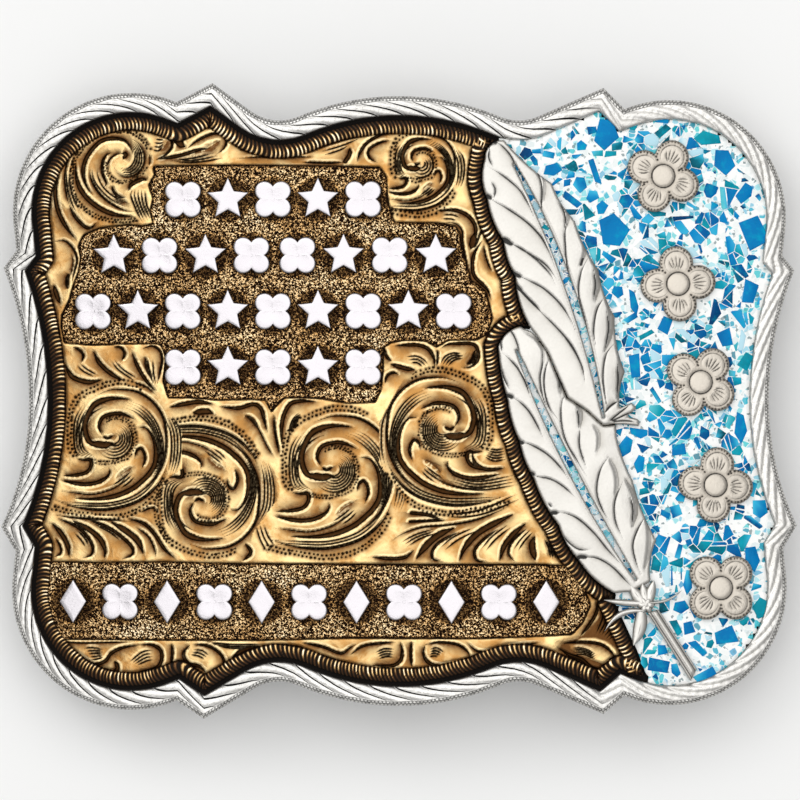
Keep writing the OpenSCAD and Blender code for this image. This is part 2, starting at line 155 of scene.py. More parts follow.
def arc(middle: Sequence[float], r: float, start: float, end: float, step: float) -> np.ndarray:
    """Points along a circular arc, its angles in degrees."""
    n = max(2, int(abs(end - start) / step))
    a = np.radians(np.linspace(start, end, n + 1))
    return np.column_stack([middle[0] + r * np.cos(a), middle[1] + r * np.sin(a)])


def bulged(p: np.ndarray, q: np.ndarray, bulge: float) -> np.ndarray:
    """Points from p up to, but without, q on an arc that stands off the chord to its right.

    Args:
        p: First point.
        q: Last point.
        bulge: How far the arc's middle stands off the chord.

    Returns:
        The points, one per row.
    """
    if bulge == 0:
        return np.array([p])
    chord = float(np.linalg.norm(q - p))
    b, side = abs(bulge), math.copysign(1, bulge)
    r = (chord * chord / 4 + b * b) / (2 * b)
    out = side * np.array([(q - p)[1], -(q - p)[0]]) / chord
    middle = (p + q) / 2 + (b - r) * out
    half = math.asin(min(1.0, chord / 2 / r))
    base = math.atan2(out[1], out[0])
    n = max(3, math.ceil(chord / 0.6))
    a = base + side * half * (2 * np.arange(n) / n - 1)
    return np.column_stack([middle[0] + r * np.cos(a), middle[1] + r * np.sin(a)])


def chain(rows: Line) -> np.ndarray:
    """The points along rows of x, y and bulge, with both ends."""
    spots = [np.array(r[:2], float) for r in rows]
    parts = [bulged(p, q, r[2]) for p, q, r in zip(spots, spots[1:], rows)]
    return np.vstack([*parts, spots[-1][None]])


def axes(a: float) -> tuple[np.ndarray, np.ndarray]:
    """Unit vectors at an angle in radians, and across it to the left."""
    return np.array([math.cos(a), math.sin(a)]), np.array([-math.sin(a), math.cos(a)])


def left_normals(line: np.ndarray, closed: bool) -> np.ndarray:
    """Mitred normals to the left of a line, scaled so that an offset keeps its width."""
    if closed:
        before, after = line - np.roll(line, 1, 0), np.roll(line, -1, 0) - line
    else:
        step = np.diff(line, axis=0)
        before, after = np.vstack([step[:1], step]), np.vstack([step, step[-1:]])
    u = before / np.linalg.norm(before, axis=1, keepdims=True)
    v = after / np.linalg.norm(after, axis=1, keepdims=True)
    total = np.column_stack([-(u + v)[:, 1], (u + v)[:, 0]])
    return total / np.maximum(0.35, 1 + (u * v).sum(1))[:, None]


def offset(line: np.ndarray, d: float, closed: bool = False) -> np.ndarray:
    """A line moved sideways to its left."""
    return line + d * left_normals(line, closed)


def resample(line: np.ndarray, spacing: float | None = None, count: int | None = None) -> np.ndarray:
    """Evenly spaced points along an open line, both ends kept."""
    length = np.concatenate([[0], np.cumsum(np.linalg.norm(np.diff(line[:, :2], axis=0), axis=1))])
    n = count or max(2, int(round(length[-1] / spacing)) + 1)
    at = np.linspace(0, length[-1], n)
    return np.column_stack([np.interp(at, length, line[:, k]) for k in range(line.shape[1])])


def wander(rng: np.random.Generator, count: int, knots: int, low: float, high: float) -> np.ndarray:
    """A row of numbers that drifts at random between low and high.

    Args:
        rng: Source of chance.
        count: How many numbers.
        knots: How many of them are drawn; the others lie between.
        low: The least.
        high: The most.

    Returns:
        The numbers.
    """
    return np.interp(np.arange(count), np.linspace(0, count, knots), rng.uniform(low, high, knots))


def smooth(points: Line, spacing: float) -> np.ndarray:
    """A smooth line through the points, evenly spaced.

    Args:
        points: Points to pass through, with two or more columns.
        spacing: Distance between the points of the result.

    Returns:
        The points of a centripetal curve through the given ones.
    """
    p = np.asarray(points, float)
    if len(p) < 3:
        return resample(p, spacing)
    ends = np.vstack([2 * p[:1] - p[1:2], p, 2 * p[-1:] - p[-2:-1]])
    t = np.linspace(0, 1, 9)[:-1, None]
    parts = []
    for a, b, c, d in zip(ends, ends[1:], ends[2:], ends[3:]):
        parts.append(0.5 * (2 * b + (c - a) * t + (2 * a - 5 * b + 4 * c - d) * t**2 + (3 * b - a - 3 * c + d) * t**3))
    return resample(np.vstack([*parts, p[-1:]]), spacing)


def inside(poly: np.ndarray, x: np.ndarray, y: np.ndarray) -> np.ndarray:
    """Whether each point lies inside a closed polygon."""
    hit = np.zeros(x.shape, bool)
    for (x0, y0), (x1, y1) in zip(poly, np.roll(poly, -1, 0)):
        if y0 == y1:
            continue
        crosses = (y0 > y) != (y1 > y)
        hit ^= crosses & (x < (x1 - x0) * (y - y0) / (y1 - y0) + x0)
    return hit


def signed_distance(poly: np.ndarray, x: np.ndarray, y: np.ndarray) -> np.ndarray:
    """Distance to a polygon's edge, negative inside it."""
    flat_x, flat_y = x.ravel(), y.ravel()
    best = np.full(flat_x.shape, 1e9)
    for (x0, y0), (x1, y1) in zip(poly, np.roll(poly, -1, 0)):
        dx, dy = x1 - x0, y1 - y0
        square = dx * dx + dy * dy
        if square == 0:
            continue
        t = unit(((flat_x - x0) * dx + (flat_y - y0) * dy) / square)
        best = np.minimum(best, (flat_x - x0 - t * dx) ** 2 + (flat_y - y0 - t * dy) ** 2)
    far = np.sqrt(best).reshape(x.shape)
    return np.where(inside(poly, x, y), -far, far)


def clip(poly: np.ndarray, at: np.ndarray, n: np.ndarray) -> np.ndarray:
    """The part of a convex polygon behind a line through a point, n being the line's normal."""
    if len(poly) < 3:
        return poly[:0]
    d = (poly - at) @ n
    out = []
    for p, q, dp, dq in zip(poly, np.roll(poly, -1, 0), d, np.roll(d, -1)):
        if dp <= 0:
            out.append(p)
        if dp * dq < 0:
            out.append(p + (q - p) * dp / (dp - dq))
    return np.array(out).reshape(-1, 2)


def area(poly: np.ndarray) -> float:
    """Area of an anticlockwise polygon."""
    if len(poly) < 3:
        return 0.0
    x, y = poly.T
    return 0.5 * float(np.dot(x, np.roll(y, -1)) - np.dot(y, np.roll(x, -1)))


def crossing(a: np.ndarray, b: np.ndarray, c: np.ndarray, d: np.ndarray) -> np.ndarray | None:
    """Where two segments cross, or None."""
    r, s = b - a, d - c
    den = r[0] * s[1] - r[1] * s[0]
    if abs(den) < 1e-12:
        return None
    t = ((c - a)[0] * s[1] - (c - a)[1] * s[0]) / den
    u = ((c - a)[0] * r[1] - (c - a)[1] * r[0]) / den
    return a + t * r if 0 <= t <= 1 and 0 <= u <= 1 else None


@dataclass(frozen=True)
class Bend:
    """The cylinder about an axis along y that the whole buckle is bent to."""

    radius: float = 230.0
    back_z: float = 11.5

    def place(self, points: np.ndarray) -> np.ndarray:
        """Points given as x, y and height over the plate's back, bent and in metres."""
        x, y, h = points.T
        z = self.back_z + np.sqrt((self.radius + h) ** 2 - x * x) - self.radius
        return np.column_stack([x, y, z]) * MM


@dataclass(frozen=True)
class Outline:
    """The buckle's outline: four lobes, four valleys, two bumps and two waists."""

    bump_y: float = 38.7
    waist_x: float = 47.2
    valley: tuple[float, float] = (15.2, 41.6)
    valley_r: float = 6.0
    lobe_from: float = -10.0
    lobe_to: float = 113.0
    notch_drop: float = 4.9
    notch_in: float = 0.45

    def corner(self, row: Sequence[float]) -> list[np.ndarray]:
        """Five stretches of one corner, from its waist up to the middle of the bump.

        Args:
            row: One row of CORNERS.

        Returns:
            The stretches, each an array of points.
        """
        sx, sy = row[:2]
        tip, side, lobe, r = np.array(row[2:4]), np.array(row[4:6]), np.array(row[6:8]), row[8]
        notch = lobe + [r - self.notch_in, -self.notch_drop]
        waist_r = ((side[0] - self.waist_x) ** 2 + side[1] ** 2) / (2 * (side[0] - self.waist_x))
        waist_a = math.degrees(math.asin(side[1] / waist_r))
        valley, vr = np.array(self.valley), self.valley_r
        reach = tip - valley
        slope = math.degrees(math.atan2(reach[1], reach[0]) - math.acos(vr / np.linalg.norm(reach)))
        top = (valley[1] + self.bump_y + vr) / 2 - valley[0] ** 2 / (2 * (self.bump_y + vr - valley[1]))
        bump_a = math.degrees(math.atan2(valley[1] - top, valley[0]))
        bump = arc((0, top), self.bump_y - top, bump_a, 90, 2.5)
        crook = lobe + r * np.array([math.cos(math.radians(self.lobe_to)), math.sin(math.radians(self.lobe_to))])
        parts = [
            arc((self.waist_x + waist_r, 0), waist_r, 180, 180 - waist_a, 2.5),
            np.array([side, notch]),
            np.vstack([notch[None], arc(lobe, r, self.lobe_from, self.lobe_to, 4)]),
            np.array([crook, tip]),
            np.vstack([tip[None], arc(valley, vr, slope, bump_a - 180, 9), bump[bump[:, 0] < valley[0] - 2.4]]),
        ]
        return [p * [sx, sy] for p in parts]

    def stretches(self) -> list[np.ndarray]:
        """All twenty stretches of the outline, anticlockwise from the right waist."""
        whole = []
        for k, row in enumerate(CORNERS):
            parts = self.corner(row)
            whole += parts if k % 2 == 0 else [p[::-1] for p in reversed(parts)]
        return whole

    def ring(self) -> np.ndarray:
        """The closed outline."""
        return np.vstack([s[:-1] for s in self.stretches()])

    def inset(self, d: float) -> np.ndarray:
        """The closed outline moved inward."""
        return offset(self.ring(), d, closed=True)

    def panel(self) -> np.ndarray:
        """The bronze panel's closed outline, anticlockwise from the top of the feathers."""
        rim = self.inset(BORDER_W + PANEL_GAP)
        side = np.vstack([
            np.array(PANEL_FOOT),
            offset(chain(SHORT_LEFT), -FIT)[::-1],
            offset(chain(LONG_LEFT), -FIT)[::-1],
            [[12.9, 60.0]],
        ])
        cuts = []
        for i, (a, b) in enumerate(zip(rim, np.roll(rim, -1, 0))):
            for j, (c, d) in enumerate(zip(side, side[1:])):
                spot = crossing(a, b, c, d)
                if spot is not None:
                    cuts.append((i, j, spot))
        low = min(cuts, key=lambda cut: cut[2][1])
        high = max(cuts, key=lambda cut: cut[2][1])
        return np.vstack([high[2], rim[high[0] + 1 : low[0] + 1], low[2], side[low[1] + 1 : high[1] + 1]])


# Meshes


def closed(block: np.ndarray) -> np.ndarray:
    """A block of points or numbers whose first column comes again at its end."""
    return np.concatenate([block, block[:, :1]], 1)


def shown(name: str, data: bpy.types.ID) -> bpy.types.Object:
    """A new object of the scene for some data."""
    item = bpy.data.objects.new(name, data)
    bpy.context.scene.collection.objects.link(item)
    return item


class Clay:
    """The vertices, faces and named numbers of one piece while it is being made."""

    def __init__(self) -> None:
        """Starts with nothing in it."""
        self.points: list[np.ndarray] = []
        self.faces: list[np.ndarray] = []
        self.marks: dict[str, list[np.ndarray]] = {}
        self.count = 0

    def add(self, points: np.ndarray, faces: Iterable[np.ndarray], **marks: np.ndarray | float) -> None:
        """Adds vertices and the faces between them.

        Args:
            points: Vertices as x, y, h.
            faces: Arrays of vertex numbers, each array with faces of one size.
            **marks: A number for each vertex, or one for all, under its name.
        """
        n = len(points)
        for name in marks:
            self.marks.setdefault(name, [np.zeros(self.count)] if self.count else [])
        for name, values in self.marks.items():
            values.append(np.broadcast_to(np.asarray(marks.get(name, 0.0), float), (n,)).copy())
        self.points.append(np.asarray(points, float))
        self.faces += [np.asarray(f, np.int64) + self.count for f in faces if len(f)]
        self.count += n

    def grid(self, points: np.ndarray, wrap: bool = False, **marks: np.ndarray | float) -> None:
        """Adds a sheet of quads over a block of points.

        Args:
            points: Rows by columns by 3.
            wrap: Whether the last row joins the first.
            **marks: Rows by columns, or one number, under its name.
        """
        rows, cols = points.shape[:2]
        index = np.arange(rows * cols).reshape(rows, cols)
        if wrap:
            index = np.vstack([index, index[:1]])
        quads = np.stack([index[:-1, :-1], index[1:, :-1], index[1:, 1:], index[:-1, 1:]], -1).reshape(-1, 4)
        flat = {k: np.broadcast_to(v, (rows, cols)).ravel() for k, v in marks.items()}
        self.add(points.reshape(-1, 3), [quads], **flat)

    def build(self, name: str, bend: Bend | None, material: bpy.types.Material) -> bpy.types.Object:
        """Makes the Blender object.

        Args:
            name: The piece's name.
            bend: The cylinder to bend it to, or None where the points are bent already.
            material: Its finish.

        Returns:
            The new object, smooth shaded, with its marks as attributes.
        """
        points = np.vstack(self.points)
        points = bend.place(points) if bend else points * MM
        mesh = bpy.data.meshes.new(name)
        sizes = np.concatenate([np.full(len(f), f.shape[1]) for f in self.faces])
        loops = np.concatenate([f.ravel() for f in self.faces])
        mesh.vertices.add(len(points))
        mesh.vertices.foreach_set("co", points.astype(np.float32).ravel())
        mesh.loops.add(len(loops))
        mesh.loops.foreach_set("vertex_index", loops.astype(np.int32))
        mesh.polygons.add(len(sizes))
        mesh.polygons.foreach_set("loop_start", (np.cumsum(sizes) - sizes).astype(np.int32))
        mesh.polygons.foreach_set("loop_total", sizes.astype(np.int32))
        mesh.update(calc_edges=True)
        mesh.validate()
        for key, values in self.marks.items():
            mark = mesh.attributes.new(key, "FLOAT", "POINT")
            mark.data.foreach_set("value", np.concatenate(values).astype(np.float32))
        mesh.polygons.foreach_set("use_smooth", np.ones(len(mesh.polygons), bool))
        mesh.materials.append(material)
        return shown(name, mesh)


# Engraving


class Taper(Enum):
    """Which ends of a cut run out to a point."""

    NONE = "none"
    START = "start"
    END = "end"
    BOTH = "both"


@dataclass(frozen=True)
class Cut:
    """A cut of the graver: its path, its width, and how its sides are shaded."""

    path: Line | Drawing
    width: float = 0.3
    shade: float = 0.8
    side: int = 0
    reach: float = 0.6
    dark: float = 1.0
    taper: Taper = Taper.BOTH


@dataclass(frozen=True)
class Hatch:
    """A group of thin cuts that lie between two paths."""

    first: Line | Drawing
    last: Line | Drawing
    count: int = 4
    width: float = 0.11


@dataclass(frozen=True)
class Dots:
    """Two staggered rows of punched dots along a path."""

    path: Line | Drawing
    spacing: float = 0.54
    radius: float = 0.16
    gap: float = 0.46


@dataclass(frozen=True)
class Placing:
    """Where a drawing is put: its middle, size and mirroring, and the zone that it is kept to."""

    x: float = 0.0
    y: float = 0.0
    size: float = 1.0
    flip_x: int = 1
    flip_y: int = 1
    zone: Drawing | None = None

    def put(self, path: Drawing) -> np.ndarray:
        """A drawn path moved to its place, in millimetres."""
        return (self.x, self.y) + self.size * np.array([self.flip_x, self.flip_y]) * drawn(path)


class Relief:
    """A height field over a grid, inside an outline, that a graver works on."""

    def __init__(self, low: Sequence[float], high: Sequence[float], pitch: float) -> None:
        """Lays out a grid.

        Args:
            low: Lower corner.
            high: Upper corner.
            pitch: Distance between the grid's lines.
        """
        self.pitch = pitch
        self.low = np.array(low, float)
        xs = np.arange(low[0], high[0] + pitch, pitch)
        ys = np.arange(low[1], high[1] + pitch, pitch)
        self.x, self.y = np.meshgrid(xs, ys)
        self.drop, self.cut, self.shade, self.gleam = np.zeros((4, *self.x.shape))
        self.field = np.full(self.x.shape, -1.0)
        self.mask: np.ndarray | None = None

    def distance(self, poly: np.ndarray, coarse: int = 3) -> np.ndarray:
        """Signed distance to a polygon over the grid, worked out on a coarser one."""
        rows, cols = self.x.shape
        i = np.arange(0, rows + coarse, coarse)
        j = np.arange(0, cols + coarse, coarse)
        gx, gy = np.meshgrid(self.low[0] + j * self.pitch, self.low[1] + i * self.pitch)
        far = signed_distance(poly, gx, gy)
        fi, fj = np.arange(rows) / coarse, np.arange(cols) / coarse
        i0, j0 = fi.astype(int), fj.astype(int)
        ti, tj = (fi - i0)[:, None], (fj - j0)[None, :]
        a = far[np.ix_(i0, j0)] * (1 - tj) + far[np.ix_(i0, j0 + 1)] * tj
        b = far[np.ix_(i0 + 1, j0)] * (1 - tj) + far[np.ix_(i0 + 1, j0 + 1)] * tj
        return a * (1 - ti) + b * ti

    def limit(self, zone: Drawing | None) -> None:
        """Keeps the next cuts inside a closed polygon, or frees them."""
        self.mask = None if zone is None else inside(drawn(zone), self.x, self.y)

    def _window(self, spots: np.ndarray, reach: float) -> tuple[slice, slice]:
        """The part of the grid within reach of some points."""
        low = np.floor((spots.min(0) - reach - self.low) / self.pitch).astype(int)
        high = np.ceil((spots.max(0) + reach - self.low) / self.pitch).astype(int) + 1
        low = np.maximum(low, 0)
        return slice(low[1], max(high[1], low[1])), slice(low[0], max(high[0], low[0]))

    def _press(self, rows: slice, cols: slice, **marks: np.ndarray) -> None:
        """Keeps the larger of each field and its new mark, inside the zone alone."""
        keep = 1 if self.mask is None else self.mask[rows, cols]
        for name, mark in marks.items():
            part = getattr(self, name)[rows, cols]
            np.maximum(part, mark * keep, out=part)

    def darken(self, shade: np.ndarray) -> None:
        """Shades the whole field at least so much."""
        self.shade = np.maximum(self.shade, shade)

    def carve(self, cut: Cut, depth: float = 0.22) -> None:
        """Engraves one cut.

        Args:
            cut: Its path and section.
            depth: How deep its middle goes.
        """
        line = smooth(cut.path, self.pitch * 0.7)
        n = len(line)
        t = np.linspace(0, 1, n)
        start = cut.taper in (Taper.START, Taper.BOTH)
        end = cut.taper in (Taper.END, Taper.BOTH)
        grow = np.minimum(1, TIP + WIDEN * t) if start else np.ones(n)
        fall = np.minimum(1, TIP + WIDEN * (1 - t)) if end else np.ones(n)
        half = (cut.width / 2 * 1.12 + 0.02) * np.minimum(grow, fall)
        top = 1.0 if cut.dark >= 1 else 0.42 + 0.16 * cut.dark
        ahead = np.gradient(line, axis=0)
        reach = cut.width / 2 + FADE * cut.reach + self.pitch
        for k in range(0, n, STEP):
            part = slice(k, k + STEP + 1)
            rows, cols = self._window(line[part], reach)
            x, y = self.x[rows, cols], self.y[rows, cols]
            if not x.size:
                continue
            dx = x[..., None] - line[part, 0]
            dy = y[..., None] - line[part, 1]
            far = dx * dx + dy * dy
            near = far.argmin(-1)
            pick = np.take_along_axis
            d = np.sqrt(pick(far, near[..., None], -1)[..., 0])
            w = half[part][near]
            core = np.clip(0.5 + (w - d) / EDGE, 0, top)
            groove = depth * unit(1 - d / (w + self.pitch)) * np.clip(w / 0.12, 0.3, 1)
            wide = cut.reach * (0.7 + 1.3 * unit(w / 0.25))
            # bank: painted shade beside the cut, also sunk a little into the height; glint: a painted highlight,
            # mostly on the cut's other side
            bank = np.exp(-np.maximum(0, d - w) / wide) * cut.shade * unit(w / 0.1)
            glint = np.exp(-(((d - w - 0.22) / 0.15) ** 2)) * unit(w / 0.14) * min(1.0, 1.2 * cut.shade)
            lean = ahead[part][near]
            turn = lean[..., 0] * (y - line[part, 1][near]) - lean[..., 1] * (x - line[part, 0][near])
            if cut.side:
                bank = np.where(turn * cut.side > 0, bank, 0.15 * bank)
                glint = np.where(turn * cut.side > 0, 0.0, glint)
            else:
                glint = np.where(turn > 0, glint, 0.25 * glint)
                bank = np.where(turn > 0, 0.55 * bank, bank)
            self._press(rows, cols, gleam=glint, cut=core, drop=np.maximum(groove, 0.16 * bank), shade=bank)

    def hatch(self, group: Hatch, depth: float = 0.1) -> None:
        """Engraves a group of thin cuts."""
        a, b = smooth(group.first, 0.4), smooth(group.last, 0.4)
        n = max(len(a), len(b))
        a, b = resample(a, count=n), resample(b, count=n)
        room = float(np.linalg.norm(a - b, axis=1).max())
        count = max(2, min(group.count, 1 + int(room / HATCH_ROOM)))
        for k in range(count):
            f = k / (count - 1)
            self.carve(Cut(a * (1 - f) + b * f, max(0.18, group.width * 1.45), 0.65, reach=0.2), depth)

    def punch(self, row: Dots, rng: np.random.Generator, depth: float = 0.14) -> None:
        """Punches rows of dots."""
        line = smooth(row.path, row.spacing / 2)
        normal = left_normals(line, False)
        for k, (spot, n) in enumerate(zip(line, normal)):
            spot = spot + n * row.gap * (0.5 if k % 2 else -0.5) + rng.normal(0, STRAY, 2)
            r = row.radius * rng.uniform(0.9, 1.3)
            rows, cols = self._window(spot[None], r + HALO)
            x, y = self.x[rows, cols], self.y[rows, cols]
            if not x.size:
                continue
            d = np.hypot(x - spot[0], y - spot[1])
            hole = unit((r - d) / (1.1 * self.pitch) + 0.5)
            core = np.clip(0.5 + (r - d) / EDGE, 0, 0.57)
            self._press(rows, cols, cut=core, drop=hole * depth)
            halo = unit(1 - (d - r) / HALO) * 0.6
            self.shade[rows, cols] = np.maximum(self.shade[rows, cols], halo)

    def work(self, tools: Iterable[Cut | Hatch | Dots], rng: np.random.Generator, at: Placing = Placing()) -> None:
        """Engraves a drawing.

        Args:
            tools: What to engrave.
            rng: Source of the small unevenness of handwork.
            at: Where the drawing goes.
        """
        self.limit(at.zone)
        for tool in tools:
            if isinstance(tool, Hatch):
                self.hatch(replace(tool, first=at.put(tool.first), last=at.put(tool.last)))
            elif isinstance(tool, Dots):
                self.punch(replace(tool, path=at.put(tool.path)), rng)
            else:
                width, side = tool.width * (0.4 + 0.6 * at.size), tool.side * at.flip_x * at.flip_y
                self.carve(replace(tool, path=at.put(tool.path), width=width, side=side, reach=tool.reach * at.size))
        self.limit(None)

    def shell(self, clay: Clay, top: np.ndarray, base: float, **marks: np.ndarray) -> None:
        """Adds the worked surface inside the field's zero line, with side walls, to some clay.

        Args:
            clay: What the mesh is added to.
            top: Height at each grid point.
            base: Height of the walls' foot.
            **marks: Further numbers at each grid point.
        """
        f, p = self.field, self.pitch
        gy, gx = np.gradient(f, p)
        slope = np.maximum(gx * gx + gy * gy, 0.25)
        near = np.abs(f) < SNAP * p
        x = np.where(near, self.x - f * gx / slope, self.x)
        y = np.where(near, self.y - f * gy / slope, self.y)
        ok = f < SNAP * p
        cell = ok[:-1, :-1] & ok[1:, :-1] & ok[1:, 1:] & ok[:-1, 1:]
        cell &= (f[:-1, :-1] < 0) | (f[1:, :-1] < 0) | (f[1:, 1:] < 0) | (f[:-1, 1:] < 0)
        index = np.arange(f.size).reshape(f.shape)
        quads = np.stack([index[:-1, :-1], index[:-1, 1:], index[1:, 1:], index[1:, :-1]], -1)[cell]
        used = np.unique(quads)
        new = np.full(f.size, -1)
        new[used] = np.arange(len(used))
        points = np.column_stack([x.ravel()[used], y.ravel()[used], top.ravel()[used]])
        values = {"cut": self.cut, "shade": self.shade, "gleam": self.gleam, **marks}
        values = {k: np.broadcast_to(v, f.shape).ravel()[used] for k, v in values.items()}
        quads = new[quads]
        edges = np.vstack([quads[:, [0, 1]], quads[:, [1, 2]], quads[:, [2, 3]], quads[:, [3, 0]]])
        size = len(used) + 1
        rim = edges[~np.isin(edges @ [size, 1], edges @ [1, size])]
        foot = np.unique(rim)
        low = np.full(len(used), -1)
        low[foot] = np.arange(len(foot)) + len(used)
        feet = points[foot].copy()
        feet[:, 2] = base
        walls = np.column_stack([rim[:, 1], rim[:, 0], low[rim[:, 0]], low[rim[:, 1]]])
        values = {k: np.concatenate([v, v[foot]]) for k, v in values.items()}
        values["wall"] = np.concatenate([np.zeros(len(used)), np.ones(len(foot))])
        clay.add(np.vstack([points, feet]), [quads, walls], **values)


# Shader building


def math_method(operation: str, turned: bool = False) -> Callable[..., Value]:
    """A method of Value that makes one Math node of itself and what it is given.

    Args:
        operation: Blender's name for what the node does.
        turned: Whether what it is given comes first.

    Returns:
        The method.
    """

    def method(self: Value, *others: Number) -> Value:
        """Joins the value and the others in a Math node."""
        return self.recipe.math(operation, *((*others, self) if turned else (self, *others)))

    return method


class Value:
    """A number socket that Python expressions work on."""

    def __init__(self, recipe: Recipe, socket: bpy.types.NodeSocket) -> None:
        """Wraps a socket of a recipe."""
        self.recipe = recipe
        self.socket = socket

    __add__ = __radd__ = math_method("ADD")
    __mul__ = __rmul__ = math_method("MULTIPLY")
    __sub__, __rsub__ = math_method("SUBTRACT"), math_method("SUBTRACT", turned=True)
    __truediv__, __pow__, __gt__ = math_method("DIVIDE"), math_method("POWER"), math_method("GREATER_THAN")
    fract, size = math_method("FRACT"), math_method("ABSOLUTE")
    most, least = math_method("MAXIMUM"), math_method("MINIMUM")

    def ease(self, low: float, high: float, to_low: float = 0.0, to_high: float = 1.0) -> Value:
        """A smooth step from to_low at low to to_high at high."""
        ends = {"Value": self, "From Min": low, "From Max": high, "To Min": to_low, "To Max": to_high}
        node = self.recipe.node("ShaderNodeMapRange", {"interpolation_type": "SMOOTHSTEP"}, ends)
        return Value(self.recipe, node.outputs["Result"])


Number = Value | float | int
Colour = tuple[float, float, float]
Tint = Colour | bpy.types.NodeSocket
Stops = Sequence[tuple[float, Colour]]


class Recipe:
    """One material while its nodes are being laid out."""

    def __init__(self, name: str) -> None:
        """Starts an empty material."""
        self.material = bpy.data.materials.new(name)
        self.material.use_nodes = True
        self.tree = self.material.node_tree
        self.tree.nodes.clear()

    def node(self, kind: str, settings: dict | None = None, sockets: dict | None = None) -> bpy.types.Node:
        """Adds a node.

        Args:
            kind: Blender's type name.
            settings: Its properties, set before its sockets. A ramp's stops are under "stops".
            sockets: Input names or numbers, with values, colours, Value objects or sockets.

        Returns:
            The node.
        """
        node = self.tree.nodes.new(kind)
        for key, value in (settings or {}).items():
            if key == "stops":
                ramp = node.color_ramp
                while len(ramp.elements) < len(value):
                    ramp.elements.new(0.5)
                for element, (at, colour) in zip(ramp.elements, value):
                    element.position = at
                    element.color = (*colour, 1.0)
            else:
                setattr(node, key, value)
        for key, value in (sockets or {}).items():
            target = node.inputs[key]
            if isinstance(value, Value):
                self.tree.links.new(value.socket, target)
            elif isinstance(value, bpy.types.NodeSocket):
                self.tree.links.new(value, target)
            elif isinstance(value, tuple) and len(value) == 3 and target.type == "RGBA":
                target.default_value = (*value, 1.0)
            else:
                target.default_value = value
        return node

    def math(self, operation: str, *terms: Number) -> Value:
        """A Math node over numbers and values."""
        node = self.node("ShaderNodeMath", {"operation": operation}, dict(enumerate(terms)))
        return Value(self, node.outputs[0])

    def mark(self, name: str) -> Value:
        """A named number of the mesh."""
        node = self.node("ShaderNodeAttribute", {"attribute_type": "GEOMETRY", "attribute_name": name})
        return Value(self, node.outputs["Fac"])

    def place(self) -> bpy.types.NodeSocket:
        """The piece's own coordinates, in metres."""
        return self.node("ShaderNodeTexCoord").outputs["Object"]

    def noise(self, scale: float, detail: float = 2.0, rough: float = 0.5, distort: float = 0.0) -> Value:
        """Soft noise, so many features to the metre."""
        sockets = {"Vector": self.place(), "Scale": scale, "Detail": detail, "Roughness": rough, "Distortion": distort}
        return Value(self, self.node("ShaderNodeTexNoise", None, sockets).outputs["Fac"])

    def cells(self, scale: float, feature: str = "F1", at: bpy.types.NodeSocket | None = None) -> bpy.types.Node:
        """A cell pattern, so many cells to the metre."""
        return self.node("ShaderNodeTexVoronoi", {"feature": feature}, {"Vector": at or self.place(), "Scale": scale})

    def part(self, colour: bpy.types.NodeSocket, channel: int) -> Value:
        """One channel of a colour."""
        return Value(self, self.node("ShaderNodeSeparateColor", None, {0: colour}).outputs[channel])

    def mix(self, share: Number, first: Tint, last: Tint) -> bpy.types.NodeSocket:
        """The colour that lies between two others, by the share of the last one."""
        node = self.node("ShaderNodeMix", {"data_type": "RGBA", "clamp_factor": True}, {0: share, 6: first, 7: last})
        return node.outputs[2]

    def ramp(self, value: Number, stops: Stops) -> bpy.types.NodeSocket:
        """A colour for each value."""
        return self.node("ShaderNodeValToRGB", {"stops": stops}, {"Fac": value}).outputs["Color"]

    def bump(self, height: Value, distance: float) -> bpy.types.NodeSocket:
        """A bumped normal, its heights in metres once multiplied by the distance."""
        return self.node("ShaderNodeBump", None, {"Height": height, "Distance": distance}).outputs["Normal"]

    def surface(self, **sockets: object) -> bpy.types.Material:
        """Closes the material with one Principled shader.

        Args:
            **sockets: Its inputs, with _ for each space of their names.

        Returns:
            The finished material.
        """
        named = {key.replace("_", " "): value for key, value in sockets.items()}
        shader = self.node("ShaderNodeBsdfPrincipled", None, named)
        self.node("ShaderNodeOutputMaterial", None, {"Surface": shader.outputs[0]})
        return self.material

    def metal(self, base: Tint, metal: Number, rough: Number, normal: bpy.types.NodeSocket) -> bpy.types.Material:
        """Closes the material as bare metal, whose dirt and painted shade hardly shine."""
        dull = {"Specular_IOR_Level": DIRT_AND_SHADE_SHINE, "Normal": normal}
        return self.surface(Base_Color=base, Metallic=metal, Roughness=rough, **dull)


# Finishes


@dataclass(frozen=True)
class Bronze:
    """Gold-toned bronze with dark patina in its cuts."""

    bright: Colour = (0.95, 0.70, 0.33)
    gold: Colour = (0.50, 0.25, 0.07)
    # pale is the colour of the painted highlight beside the cuts
    pale: Colour = (1.0, 0.80, 0.45)
    brown: Colour = (0.095, 0.04, 0.012)
    dark: Colour = (0.004, 0.002, 0.001)

    def material(self) -> bpy.types.Material:
        """Polished relief whose cuts are darkened, with painted shade on their sides and a painted highlight beside
        them.
        """
        r = Recipe("antiqued_bronze")
        cut, shade = r.mark("cut"), r.mark("shade")
        cloud = r.noise(320, 3, 0.5, 0.6)
        fine = r.noise(2600, 3, 0.6)
        tone = (cloud - 0.5) * 2.2 + (fine - 0.5) * 0.5
        base = r.mix((tone + 0.5).ease(0.1, 0.9), self.gold, self.bright)
        # painted shade on the sides of the cuts, from the shade mark
        base = r.mix((shade * (1.0 + 0.7 * fine)).least(1.0), base, self.brown)
        # painted highlight along one side of each cut, from the gleam mark
        base = r.mix(r.mark("gleam").ease(0.1, 1.2) * 0.7, base, self.pale)
        line = cut.ease(*CUT_LINE)
        base = r.mix(line * (0.82 + 0.3 * fine), base, self.dark)
        base = r.mix(cut.ease(0.68, 0.98) * 0.6, base, self.brown)
        # painted shade, darker toward the foot of each side wall
        wall = r.mark("wall")
        base = r.mix(wall.ease(0.05, 0.6), base, self.dark)
        rough, normal = 0.20 + 0.18 * fine + 0.3 * line, r.bump(cloud * 3.0 + fine * 0.5, 0.00006)
        return r.surface(Base_Color=base, Metallic=1.0, Roughness=rough, Normal=normal)


